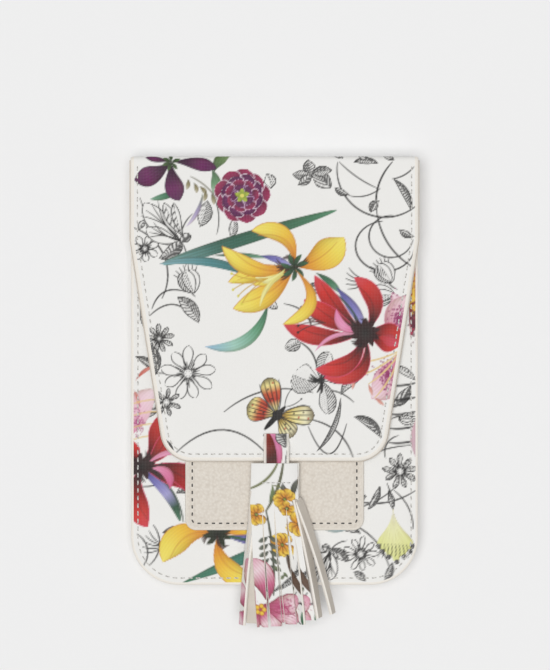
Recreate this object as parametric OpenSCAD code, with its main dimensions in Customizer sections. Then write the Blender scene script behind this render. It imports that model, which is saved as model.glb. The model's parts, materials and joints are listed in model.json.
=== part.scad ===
// Flap-over phone pouch in printed coated cotton, with a patch pocket and a tassel.
// It lies on its back: X across, +Y towards the top fold, +Z out of the front.
// The origin is the centre of the back's resting face. All sizes are in millimetres.

/* [Body] */
// Width across the body
body_w = 120; // [100:1:150]
// Height from the bottom seam to the top fold
body_h = 179; // [160:1:215]
// Radius of the two bottom corners
corner_r = 20; // [8:1:30]
// Clear depth between the two linings
compartment_t = 10; // [8:0.5:16]
// Distance of the seams from the cut edges
seam_inset = 2.9; // [2:0.1:4]
// Width of the gusset's turned-out flanges
flange_w = 6; // [5:0.5:8]

/* [Sheets] */
// Thickness of the printed coated cotton
skin_t = 0.9; // [0.7:0.1:1.4]
// Thickness of the stiffening board
board_t = 0.6; // [0.5:0.1:1.2]
// Thickness of the lining cloth
lining_t = 0.5; // [0.3:0.1:0.8]
// Thickness of the gusset
gusset_t = 0.8; // [0.6:0.1:1.2]
// Distance of the boards from the cut edges
board_inset = 5; // [4.5:0.5:8]

/* [Flap] */
// Length of the flap from the top fold to its free edge
flap_len = 127; // [125:1:140]
// Length of the flap's parallel part
flap_straight = 35; // [10:1:60]
// Slope of the flap's sides, in degrees
flap_taper = 9; // [4:1:12]
// Radius of the flap's two free corners
flap_corner_r = 13; // [6:1:20]
// Air between the patch pocket and the closed flap
flap_gap = 0.8; // [0.6:0.1:2]

/* [Patch pocket] */
// Width of the patch pocket
pocket_w = 74.5; // [50:0.5:90]
// Height of the patch pocket
pocket_h = 48; // [30:1:54]
// Distance of the pocket's lower edge from the bottom seam
pocket_up = 23; // [15:1:30]
// Radius of the pocket's lower corners
pocket_r = 4.5; // [2:0.5:8]
// Thickness of the pebbled leather
leather_t = 1; // [0.8:0.1:1.6]
// Thickness of the pocket's lining
pocket_lining_t = 0.6; // [0.4:0.1:1]

/* [Magnetic snap] */
// Distance of the snap's centre from the top fold
snap_down = 98; // [80:1:104]
// Radius of the socket's shell
socket_r = 7; // [6:0.5:9]
// Height of the socket's shell
socket_h = 1.6; // [1.4:0.1:1.6]
// Radius of the stud's post
post_r = 2.3; // [1.8:0.1:3]
// Radial clearance of the post in the socket
post_gap = 0.3; // [0.2:0.05:0.5]
// Width of the bent prongs
prong_w = 3; // [2:0.5:4]

/* [Tassel] */
// Sideways place of the tassel
tassel_x = 0.8; // [-5:0.1:5]
// Distance of the strap's slit from the top fold
slit_down = 116.3; // [110:0.1:120]
// Width of the strap
strap_w = 10.2; // [8:0.1:14]
// Thickness of the strap
strap_t = 1.1; // [0.9:0.1:1.5]
// Length of strap that shows between the slit and the tassel's head
strap_show = 11.5; // [8:0.1:20]
// Width of the tassel's head
head_w = 19; // [16:0.5:26]
// Height of the tassel's head
head_h = 16.7; // [14:0.1:24]
// Length of the fringe below the head
fringe_len = 51; // [30:1:60]
// Thickness of one fringed leaf
leaf_t = 1; // [0.8:0.1:1.3]
// Number of strips in each leaf
strips = 4; // [3:1:6]
// Angle by which the fringe leans to the right
fringe_lean = 3; // [-6:0.5:6]

/* [Thread] */
// Width of the sewing thread
thread_w = 0.6; // [0.4:0.1:0.8]
// Height of the thread above the sheet
thread_h = 0.25; // [0.2:0.05:0.4]

/* [Hidden] */
$fn = 96;

// The layered panels: a skin whose rim closes over a board, and a lining.
panel_t = skin_t + board_t + lining_t;
rim_t = skin_t + board_t;
front_z = panel_t + compartment_t;
face_z = front_z + panel_t;
pocket_z = face_z + pocket_lining_t + leather_t;
flap_z = pocket_z + flap_gap;
flap_top = flap_z + panel_t;

// The two crease lines stand hinge_r in from the outer faces, so the fold lies flat.
hinge_r = panel_t + 0.2;
top_y = body_h / 2;
bottom_y = -body_h / 2;
hinge_y = top_y - hinge_r;
crease_gap = 0.4;
panel_y = hinge_y - crease_gap;
spine_gap = 0.1;
spine_z0 = hinge_r + spine_gap;
spine_h = flap_top - 2 * hinge_r - 2 * spine_gap;

// Flap outline: the corner circle touches the sloped side and the free edge.
flap_edge_y = top_y - flap_len;
slope_y = top_y - flap_straight;
corner_y = flap_edge_y + flap_corner_r;
corner_chords = 16;
corner_x = body_w / 2
    + (sin(flap_taper) * (corner_y - slope_y) - flap_corner_r) / cos(flap_taper);

// Patch pocket.
pocket_y = bottom_y + pocket_up;
pocket_seam = 3;

// Magnetic snap.
snap_y = top_y - snap_down;
shell_t = 0.25;
snap_air = 0.1;
bore_r = post_r + post_gap;
socket_top = face_z + socket_h;
stud_z = socket_top + snap_air;
stud_h = flap_z - stud_z;
post_z = face_z + shell_t + snap_air;
stud_r = socket_r - 0.5;
washer_r = socket_r - 0.8;
washer_t = board_t - 0.15;
washer_room_r = washer_r + 0.4;
prong_t = 0.4;
prong_x = socket_r * 0.55;
prong_slack = 0.1;

// Strap and tassel.
slit_y = top_y - slit_down;
slit_slack = 0.3;
riser_t = 1;
tail_gap = 1.2;
tail_end_y = snap_y - washer_room_r - tail_gap;
tail_t = board_t - 0.05;
head_y = slit_y - strap_show;
head_end_y = head_y - head_h;
tassel_gap = 0.3;
back_leaf_z = flap_top + tassel_gap;
strap_gap = 0.25;
strap_z = back_leaf_z + leaf_t + strap_gap;
front_leaf_z = strap_z + strap_t + strap_gap + 0.1;
middle_leaf_z = front_leaf_z - leaf_t;
strap_in = 3.7;
core_down = 5.7;
seam_down = 8;
strip_w = head_w / strips;
strip_cut = 0.4;

// Colours.
PRINT_WHITE = "#ECEBE8";
GREIGE = "#D6CCC0";
LINING = "#CFC6BA";
BOARD = "#B9A98F";
THREAD = "#F2EFE8";
DARK_THREAD = "#3B3A38";
METAL = "#C9B27C";
MAGNET = "#55565A";

// ---- flat outlines ----

// Body panel: square top, two rounded bottom corners, set in by d all round but the top.
module body_outline(d = 0, top = panel_y) {
    half_w = body_w / 2 - d;
    low = bottom_y + d;
    r = corner_r - d;
    translate([-half_w, low + r]) square([2 * half_w, top - low - r]);
    translate([-half_w + r, low]) square([2 * (half_w - r), r + 0.01]);
    for (side = [-1, 1])
        translate([side * (half_w - r), low + r]) circle(r);
}

// Flap: parallel, then sloped to two round corners, set in by d all round but the top.
// Each corner is an arc of short chords, from the sloped side round to the free edge.
module flap_outline(d = 0, top = panel_y) {
    half_w = body_w / 2 - d;
    turn_y = slope_y + d * (1 - cos(flap_taper)) / sin(flap_taper);
    r = flap_corner_r - d;
    step = (90 - flap_taper) / corner_chords;
    right = [
        for (i = [0 : corner_chords])
            let (t = -flap_taper - i * step)
                [corner_x + r * cos(t), corner_y + r * sin(t)]
    ];
    left = [for (i = [corner_chords : -1 : 0]) [-right[i][0], right[i][1]]];
    polygon(concat(
        [[-half_w, top], [half_w, top], [half_w, turn_y]],
        right, left, [[-half_w, turn_y]]
    ));
}

// Patch pocket: square top, two small round lower corners, set in by d.
module pocket_outline(d = 0, top = pocket_y + pocket_h) {
    half_w = pocket_w / 2 - d;
    low = pocket_y + d;
    r = pocket_r - d;
    translate([-half_w, low + r]) square([2 * half_w, top - low - r]);
    translate([-half_w + r, low]) square([2 * (half_w - r), r + 0.01]);
    for (side = [-1, 1])
        translate([side * (half_w - r), low + r]) circle(r);
}

module layer(z, t) {
    translate([0, 0, z]) linear_extrude(t) children();
}

module at_snap(z) {
    translate([0, snap_y, z]) children();
}

// The pair of prongs, or with slack the pair of slots that they pass through.
module prongs(z, h, slack = 0) {
    for (side = [-1, 1])
        at_snap(z)
            translate([
                side * prong_x - prong_t / 2 - slack,
                -prong_w / 2 - slack,
                0
            ])
                cube([prong_t + 2 * slack, prong_w + 2 * slack, h]);
}

// ---- case body ----

module back_panel() {
    color(PRINT_WHITE)
        difference() {
            layer(0, rim_t) body_outline();
            layer(skin_t, board_t + 1) body_outline(board_inset, panel_y - board_inset);
            layer(-1, thread_h + 1) seam_line(0.1);
        }
}

// The body's seam as a flat U, widened by slack on each side.
module seam_line(slack = 0) {
    reach = thread_w / 2 + slack;
    difference() {
        body_outline(seam_inset - reach);
        body_outline(seam_inset + reach, top_y);
    }
}

module back_board() {
    color(BOARD)
        layer(skin_t, board_t) body_outline(board_inset, panel_y - board_inset);
}

module back_lining() {
    color(LINING)
        layer(rim_t, lining_t) body_outline();
}

module gusset() {
    color(GREIGE)
        union() {
            for (z = [panel_t, front_z - gusset_t])
                layer(z, gusset_t) gusset_ring(0);
            layer(panel_t, compartment_t) gusset_ring(flange_w - gusset_t);
        }
}

// The U-shaped band between the flange's inner edge and a line set in by d.
module gusset_ring(d) {
    difference() {
        body_outline(d);
        body_outline(flange_w, top_y);
    }
}

module front_panel() {
    color(PRINT_WHITE)
        difference() {
            layer(front_z + lining_t, rim_t) body_outline();
            layer(front_z + lining_t - 1, board_t + 1)
                body_outline(board_inset, panel_y - board_inset);
            prongs(front_z, panel_t + 1, prong_slack);
        }
}

module front_board() {
    color(BOARD)
        difference() {
            layer(front_z + lining_t, board_t)
                body_outline(board_inset, panel_y - board_inset);
            at_snap(front_z) cylinder(h = panel_t, r = washer_room_r);
        }
}

module front_lining() {
    color(LINING)
        layer(front_z, lining_t) body_outline();
}

module front_stitching() {
    color(THREAD)
        layer(face_z, thread_h) seam_line();
}

module back_stitching() {
    color(THREAD)
        layer(0.05, thread_h - 0.05) seam_line();
}

module patch_pocket() {
    color(GREIGE)
        layer(face_z + pocket_lining_t, leather_t) pocket_outline();
}

module pocket_lining() {
    color(LINING)
        layer(face_z, pocket_lining_t) pocket_outline();
}

module pocket_stitching() {
    reach = thread_w / 2;
    color(DARK_THREAD)
        layer(pocket_z, thread_h)
            difference() {
                pocket_outline(pocket_seam - reach);
                pocket_outline(pocket_seam + reach, top_y);
            }
}

module snap_socket() {
    wall_r = bore_r + shell_t;
    color(METAL)
        difference() {
            union() {
                at_snap(face_z) cylinder(h = socket_h, r = socket_r);
                prongs(front_z + lining_t + 0.05, rim_t - 0.05 + shell_t / 2);
            }
            at_snap(face_z + shell_t) cylinder(h = socket_h, r = bore_r);
            at_snap(face_z + shell_t)
                difference() {
                    cylinder(h = socket_h - 2 * shell_t, r = socket_r - shell_t);
                    translate([0, 0, -1]) cylinder(h = socket_h + 2, r = wall_r);
                }
        }
}

module snap_magnet() {
    play = 0.05;
    color(MAGNET)
        at_snap(face_z + shell_t + play)
            difference() {
                cylinder(h = socket_h - 2 * shell_t - 2 * play, r = socket_r - shell_t - play);
                translate([0, 0, -1]) cylinder(h = socket_h + 2, r = bore_r + shell_t + play);
            }
}

module socket_washer() {
    color(METAL)
        difference() {
            at_snap(front_z + lining_t + board_t - washer_t)
                cylinder(h = washer_t, r = washer_r);
            prongs(front_z, panel_t, prong_slack);
        }
}

// ---- spine body: the strip between the two creases ----

// An upright strip at the top fold, from depth a to depth b behind its outer face.
module spine_layer(a, b, side = 0, end = 0) {
    translate([-body_w / 2 + side, top_y - b, spine_z0 + end])
        cube([body_w - 2 * side, b - a, spine_h - 2 * end]);
}

module spine_cover() {
    color(PRINT_WHITE)
        difference() {
            spine_layer(0, rim_t);
            spine_layer(skin_t, rim_t + 1, board_inset, 1);
        }
}

module spine_board() {
    color(BOARD)
        spine_layer(skin_t, rim_t, board_inset, 1);
}

module spine_lining() {
    color(LINING)
        spine_layer(rim_t, panel_t);
}

// ---- flap body ----

module flap_board_outline() {
    flap_outline(board_inset, panel_y - board_inset);
}

module flap_outer() {
    color(PRINT_WHITE)
        difference() {
            layer(flap_z + lining_t, rim_t) flap_outline();
            layer(flap_z + lining_t - 1, board_t + 1) flap_board_outline();
            translate([
                tassel_x - strap_w / 2 - slit_slack,
                slit_y - riser_t / 2 - slit_slack,
                flap_z
            ])
                cube([strap_w + 2 * slit_slack, riser_t + 2 * slit_slack, panel_t + 1]);
        }
}

module flap_board() {
    room_w = strap_w + 2 * slit_slack;
    color(BOARD)
        difference() {
            layer(flap_z + lining_t, board_t) flap_board_outline();
            at_snap(flap_z) cylinder(h = panel_t, r = washer_room_r);
            translate([
                tassel_x - room_w / 2,
                slit_y - riser_t / 2 - slit_slack,
                flap_z
            ])
                cube([room_w, tail_end_y - slit_y + riser_t / 2 + 2 * slit_slack, panel_t]);
        }
}

module flap_lining() {
    color(LINING)
        difference() {
            layer(flap_z, lining_t) flap_outline();
            prongs(flap_z - 1, panel_t, prong_slack);
        }
}

module flap_stitching() {
    reach = thread_w / 2;
    color(THREAD)
        layer(flap_top, thread_h)
            difference() {
                flap_outline(seam_inset - reach);
                flap_outline(seam_inset + reach, top_y);
                translate([tassel_x - strap_w / 2 - slit_slack, flap_edge_y])
                    square([strap_w + 2 * slit_slack, 2 * seam_inset]);
            }
}

module snap_stud() {
    color(METAL)
        union() {
            at_snap(stud_z) cylinder(h = stud_h, r = stud_r);
            at_snap(post_z) cylinder(h = stud_z - post_z + 0.05, r = post_r);
            prongs(flap_z - 0.05, lining_t + washer_t);
        }
}

module stud_washer() {
    color(METAL)
        difference() {
            at_snap(flap_z + lining_t) cylinder(h = washer_t, r = washer_r);
            prongs(flap_z, panel_t, prong_slack);
        }
}

// The end of the strap that is sewn inside the flap and rises through the slit.
module strap_tail() {
    color(PRINT_WHITE)
        union() {
            translate([tassel_x - strap_w / 2, slit_y - riser_t / 2, flap_z + lining_t])
                cube([strap_w, tail_end_y - slit_y + riser_t / 2, tail_t]);
            translate([tassel_x - strap_w / 2, slit_y - riser_t / 2, flap_z + lining_t])
                cube([strap_w, riser_t, rim_t]);
        }
}

// ---- strap body ----

// Side profile: out of the slit, up over a short bend, then level into the head.
module tassel_strap() {
    start = slit_y + 0.2;
    end = head_y - strap_in;
    bend = 2.8;
    low = flap_top + 0.2;
    color(PRINT_WHITE)
        translate([tassel_x - strap_w / 2, 0, 0])
            rotate([90, 0, 90])
                linear_extrude(strap_w)
                    polygon([
                        [start, low], [start, low + strap_t],
                        [start - bend, strap_z + strap_t], [end, strap_z + strap_t],
                        [end, strap_z], [start - bend, strap_z]
                    ]);
}

// ---- tassel body ----

// One fringed leaf: the head's layer and its strips, which fan out by spread degrees.
module leaf(z, from_y, spread) {
    layer(z, leaf_t)
        union() {
            translate([tassel_x - head_w / 2, head_end_y])
                square([head_w, from_y - head_end_y]);
            for (k = [0 : strips - 1]) {
                place = k - (strips - 1) / 2;
                translate([tassel_x + place * strip_w, head_end_y + 1])
                    rotate(fringe_lean + place * spread / (strips - 1))
                        translate([-(strip_w - strip_cut) / 2, -fringe_len - 1])
                            square([strip_w - strip_cut, fringe_len + 1]);
            }
        }
}

module tassel_front() {
    color(PRINT_WHITE) leaf(front_leaf_z, head_y, 8);
}

module tassel_middle() {
    color(GREIGE) leaf(middle_leaf_z, head_y - core_down, 16);
}

module tassel_back() {
    color(PRINT_WHITE) leaf(back_leaf_z, head_y, 24);
}

module tassel_core() {
    z = back_leaf_z + leaf_t;
    color(BOARD)
        translate([tassel_x - head_w / 2 + 0.5, head_end_y + 0.5, z])
            cube([head_w - 1, head_h - core_down - 0.5, middle_leaf_z - z]);
}

module tassel_stitching() {
    margin = 1.5;
    color(THREAD)
        translate([
            tassel_x - head_w / 2 + margin,
            head_y - seam_down - thread_w / 2,
            front_leaf_z + leaf_t
        ])
            cube([head_w - 2 * margin, thread_w, thread_h]);
}

back_panel();
back_board();
back_lining();
gusset();
front_panel();
front_board();
front_lining();
patch_pocket();
pocket_lining();
front_stitching();
back_stitching();
pocket_stitching();
snap_socket();
snap_magnet();
socket_washer();
spine_cover();
spine_board();
spine_lining();
flap_outer();
flap_board();
flap_lining();
flap_stitching();
snap_stud();
stud_washer();
strap_tail();
tassel_strap();
tassel_front();
tassel_middle();
tassel_back();
tassel_core();
tassel_stitching();
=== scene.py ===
# %% [markdown]
# # A flap-over phone pouch in printed coated cotton
# The real pouch is cut from one sheet of printed, plastic-coated cotton that folds over at
# the top, a leather patch pocket, and a fringed tassel. Its frame, sizes and hinges come
# from the CAD model, and this script makes the cloth, leather, thread and metal around them.
# The panels, linings, gusset and seams are worked out from the CAD pieces' boxes and joints.
# The print and the tassel's strips are laid out in the same frame. All is in millimetres
# and is turned to metres when a mesh is made.

# %% Frame and units
import json

import bpy
import numpy as np
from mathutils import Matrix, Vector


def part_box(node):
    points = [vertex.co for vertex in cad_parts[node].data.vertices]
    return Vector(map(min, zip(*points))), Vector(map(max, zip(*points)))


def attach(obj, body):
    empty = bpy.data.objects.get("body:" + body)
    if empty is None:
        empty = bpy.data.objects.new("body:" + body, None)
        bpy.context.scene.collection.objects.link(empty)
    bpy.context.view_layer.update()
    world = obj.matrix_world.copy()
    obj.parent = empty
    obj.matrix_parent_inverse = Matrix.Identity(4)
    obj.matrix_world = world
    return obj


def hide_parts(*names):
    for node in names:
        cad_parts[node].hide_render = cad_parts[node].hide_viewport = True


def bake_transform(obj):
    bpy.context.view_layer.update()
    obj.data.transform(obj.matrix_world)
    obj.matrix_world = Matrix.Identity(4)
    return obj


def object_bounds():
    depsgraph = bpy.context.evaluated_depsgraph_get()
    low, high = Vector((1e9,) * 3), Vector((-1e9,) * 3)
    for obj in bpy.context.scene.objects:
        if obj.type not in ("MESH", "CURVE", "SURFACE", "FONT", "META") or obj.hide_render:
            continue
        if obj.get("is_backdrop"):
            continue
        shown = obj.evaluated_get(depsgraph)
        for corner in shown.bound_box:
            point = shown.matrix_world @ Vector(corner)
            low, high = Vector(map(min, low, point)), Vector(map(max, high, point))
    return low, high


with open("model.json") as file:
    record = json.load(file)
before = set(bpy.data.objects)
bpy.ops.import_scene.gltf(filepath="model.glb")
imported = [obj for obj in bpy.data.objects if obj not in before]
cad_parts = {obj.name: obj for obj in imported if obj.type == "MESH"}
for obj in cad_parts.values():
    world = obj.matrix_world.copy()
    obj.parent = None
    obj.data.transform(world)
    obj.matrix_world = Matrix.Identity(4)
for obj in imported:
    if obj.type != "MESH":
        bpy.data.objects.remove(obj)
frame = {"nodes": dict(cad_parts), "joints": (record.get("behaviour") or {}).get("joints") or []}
cad_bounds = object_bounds()
MM = 0.001


def span(node):
    """The lowest and highest corner of a CAD node, in millimetres."""
    low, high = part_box(node)
    return np.array(low) / MM, np.array(high) / MM


JOINT_AT = {j["name"]: np.array(j["pos_m"]) / MM for j in frame["joints"]}
HALF = span("front_panel")[1][0]
LOW = span("front_panel")[0][1]
FACE_Z = span("front_panel")[1][2]
FLAP_Z = span("flap_outer")[1][2]
FLAP_LOW = span("flap_outer")[0][1]
TOP_Y = span("spine_cover")[1][1]
HINGE_Y = JOINT_AT["spine_fold"][1]
FOLD_R = TOP_Y - HINGE_Y
PANEL_Y = span("front_panel")[1][1]
print("pouch", 2 * HALF, "by", TOP_Y - LOW, "mm, flap", TOP_Y - FLAP_LOW, "mm")

# %% [markdown]
# ## Camera, floor and light
# The pouch lies on its back and is seen from straight above, so the camera looks down with
# a long lens, which keeps the sides from showing. A pale floor and light that comes from
# everywhere give the even, almost shadowless look of a catalogue; one wide, soft lamp that
# stands nearly overhead gives the grain and the folds just enough shade to be read.

# %% Camera
FRAME_H = 280.0
LENS = 150.0
SENSOR = 36.0
CENTRE_RIGHT, CENTRE_UP = 0.2, 15.0

eye = bpy.data.cameras.new("camera")
eye.lens = LENS
eye.sensor_width = SENSOR
eye.clip_start = 0.01
eye.clip_end = 20
camera = bpy.data.objects.new("camera", eye)
distance = FRAME_H * LENS / SENSOR
camera.location = np.array([CENTRE_RIGHT, CENTRE_UP, distance + FACE_Z]) * MM
bpy.context.scene.collection.objects.link(camera)
bpy.context.scene.camera = camera
print("camera", round(distance), "mm above the face")


# %% Colours and shader nodes
def rgb(code):
    """An sRGB hex colour as linear numbers: each channel through the sRGB curve."""
    value = np.array([int(code[i : i + 2], 16) for i in (1, 3, 5)]) / 255
    return np.where(value <= 0.04045, value / 12.92, ((value + 0.055) / 1.055) ** 2.4)


def rgba(code):
    """The same colour with full cover, as a shader socket takes it."""
    return (*rgb(code), 1.0)


def add(tree, kind, inputs=None, **settings):
    """Adds one shader node. inputs maps a socket's name or number to a value or a link."""
    node = tree.nodes.new(kind)
    for key, value in settings.items():
        setattr(node, key, value)
    for key, value in (inputs or {}).items():
        if isinstance(value, bpy.types.NodeSocket):
            tree.links.new(value, node.inputs[key])
        else:
            node.inputs[key].default_value = value
    return node


def material(name):
    """A new material and its empty tree."""
    made = bpy.data.materials.new(name)
    made.use_nodes = True
    made.node_tree.nodes.clear()
    return made, made.node_tree


def surface(made, colour, rough, normal=None, **others):
    """Ends a material in one principled surface and returns it. others names more of the
    surface's sockets, with _ for a space."""
    tree = made.node_tree
    sockets = {"Base Color": colour, "Roughness": rough}
    sockets.update({name.replace("_", " "): value for name, value in others.items()})
    if normal is not None:
        sockets["Normal"] = normal
    shader = add(tree, "ShaderNodeBsdfPrincipled", sockets)
    add(tree, "ShaderNodeOutputMaterial", {"Surface": shader.outputs[0]})
    return made


# %% Floor and lamps
def floor_sheet():
    """A flat pale square, far wider than the view."""
    side = 3.0
    mesh = bpy.data.meshes.new("floor")
    corners = [(-side, -side, 0), (side, -side, 0), (side, side, 0), (-side, side, 0)]
    mesh.from_pydata(corners, [], [(0, 1, 2, 3)])
    paper, _ = material("matt paper")
    mesh.materials.append(surface(paper, rgba("#F2F2F2"), 1.0, Specular_IOR_Level=0.0))
    obj = bpy.data.objects.new("floor", mesh)
    bpy.context.scene.collection.objects.link(obj)
    return obj


def sun(name, strength, turn, softness):
    """A far lamp: turn is its rotation in degrees, softness its width in degrees."""
    lamp = bpy.data.lights.new(name, "SUN")
    lamp.energy = strength
    lamp.angle = np.radians(softness)
    obj = bpy.data.objects.new(name, lamp)
    obj.rotation_euler = np.radians(turn)
    bpy.context.scene.collection.objects.link(obj)


floor_sheet()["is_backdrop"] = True
sun("key", 2.10, (2, -4, 0), 36)
world = bpy.data.worlds.new("studio")
world.use_nodes = True
walls = world.node_tree.nodes["Background"].inputs
walls["Color"].default_value = (1, 1, 1, 1)
walls["Strength"].default_value = 0.30
bpy.context.scene.world = world
bpy.context.scene.view_settings.view_transform = "Standard"
print("floor, one sun and the studio's white walls")

# %% [markdown]
# ## How a panel is shaped
# Each panel is a flat cut sheet. Seen flat it has a straight end at the top fold, two sides
# and two round corners. A row of the sheet runs straight across at one height, so the whole
# outline is given by each row's height and half width, and any distance inside the edge is
# the same outline with smaller corner circles.

# %% Outlines
CELL = 0.45
FRONT_CELL, BACK_CELL, POCKET_CELL, LINING_CELL = 0.5, 0.62, 0.6, 1.5
BODY_R = 20.0
FLAP_R = 13.0
FLAP_SLOPE = 9.0
FLAP_TURN_Y = TOP_Y - 35.0
SEAM = 2.9
FOLD_ARC = FOLD_R * np.pi / 2
SPINE_MID = (span("spine_cover")[0][2] + span("spine_cover")[1][2]) / 2
SPINE_FLAP = JOINT_AT["flap_fold"][2] - SPINE_MID
SPINE_BACK = SPINE_MID - JOINT_AT["spine_fold"][2]


def outline(corner, radius, turn, above, step):
    """Heights and half widths of the rows: an arc of the given radius round the corner
    point, from its lowest point through turn degrees, then straight lines to the points
    (half width, height) in above."""
    chords = int(np.ceil(np.radians(turn) * radius / (1.2 * step)))
    angle = np.linspace(0, np.radians(turn), chords + 1)
    half = [corner[0] + radius * np.sin(angle)]
    height = [corner[1] - radius * np.cos(angle)]
    for width, up in above:
        rows = max(1, int(np.ceil((up - height[-1][-1]) / step)))
        share = np.linspace(0, 1, rows + 1)[1:]
        half.append(half[-1][-1] + share * (width - half[-1][-1]))
        height.append(height[-1][-1] + share * (up - height[-1][-1]))
    return np.concatenate(height), np.concatenate(half)


def body_rows(inset, end, step=CELL):
    """Rows of the front or back panel: two quarter circles and straight sides."""
    corner = (HALF - BODY_R, LOW + BODY_R)
    return outline(corner, BODY_R - inset, 90, [(HALF - inset, end)], step)


def flap_rows(inset, end, step=CELL):
    """Rows of the flap. Its corner circle touches the sloped side and the free edge."""
    slope = np.radians(FLAP_SLOPE)
    up = FLAP_LOW + FLAP_R
    out = HALF + (np.sin(slope) * (up - FLAP_TURN_Y) - FLAP_R) / np.cos(slope)
    turn_y = FLAP_TURN_Y + inset * (1 - np.cos(slope)) / np.sin(slope)
    above = [(HALF - inset, turn_y), (HALF - inset, end)]
    return outline((out, up), FLAP_R - inset, 90 - FLAP_SLOPE, above, step)


def seam_path(rows):
    """The outline's rows as one line of points: down the left side, across, up the right."""
    height, half = rows
    left = np.stack([-half[::-1], height[::-1]], 1)
    return np.concatenate([left, np.stack([half, height], 1)])


# %% [markdown]
# ## From flat sheet to folded panel
# A sheet stays flat up to the crease, runs round a quarter circle and then down the spine.
# The same rule, mirrored, makes the back. A point is given by its place on the flat sheet
# and its depth below the printed face.

# %% Folding
def folded(face_z, side, lift=None):
    """Returns place(x, s, depth). Up to the crease y = s and z is the face's height; past it
    the point goes round a circle of the fold's radius less depth, then along the spine.
    side is 1 for a sheet that faces up and -1 for one that faces down."""

    def place(x, s, depth):
        x, s = np.asarray(x, float), np.asarray(s, float)
        raised = depth - (lift(x, s) if lift else 0.0)
        turn = np.clip((s - HINGE_Y) / FOLD_R, 0, np.pi / 2)
        down = np.clip(s - HINGE_Y - FOLD_ARC, 0, None)
        reach = FOLD_R - raised
        y = np.minimum(s, HINGE_Y) + reach * np.sin(turn)
        z = face_z - side * FOLD_R + side * (reach * np.cos(turn) - down)
        return np.stack([x + 0 * z, y, z], -1)

    return place


# %% [markdown]
# ## A closed sheet with a dense face
# The print needs a vertex about every half millimetre, but only on the face that shows. So
# the face is a fine grid, the cut edge is a few rings that follow the grid's border, and
# the underside is ruled with long faces. The three close into one shell.

# %% Sheet builder
UNDER_CELLS = 8


def mesh_object(name, points, faces, slots, materials):
    """A mesh object from points in millimetres, with one material slot number per face."""
    mesh = bpy.data.meshes.new(name)
    mesh.from_pydata((np.asarray(points) * MM).tolist(), [], faces)
    for made in materials:
        mesh.materials.append(made)
    mesh.polygons.foreach_set("material_index", np.asarray(slots, np.int32))
    mesh.polygons.foreach_set("use_smooth", np.ones(len(faces), bool))
    mesh.set_sharp_from_angle(angle=np.radians(50))
    mesh.update()
    obj = bpy.data.objects.new(name, mesh)
    bpy.context.scene.collection.objects.link(obj)
    return obj


def colour_points(obj, colours):
    """Stores one linear colour per vertex as the attribute that the print is read from."""
    layer = obj.data.attributes.new("print", "FLOAT_COLOR", "POINT")
    full = np.ones((len(obj.data.vertices), 4), np.float32)
    full[:, :3] = colours
    layer.data.foreach_set("color", full.ravel())


def sheet_points(obj, flat):
    """Stores each vertex's place on the flat sheet, in metres, for the grain to follow."""
    layer = obj.data.attributes.new("flat", "FLOAT_VECTOR", "POINT")
    full = np.zeros((len(obj.data.vertices), 3), np.float32)
    full[:, :2] = np.asarray(flat) * MM
    layer.data.foreach_set("vector", full.ravel())


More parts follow.
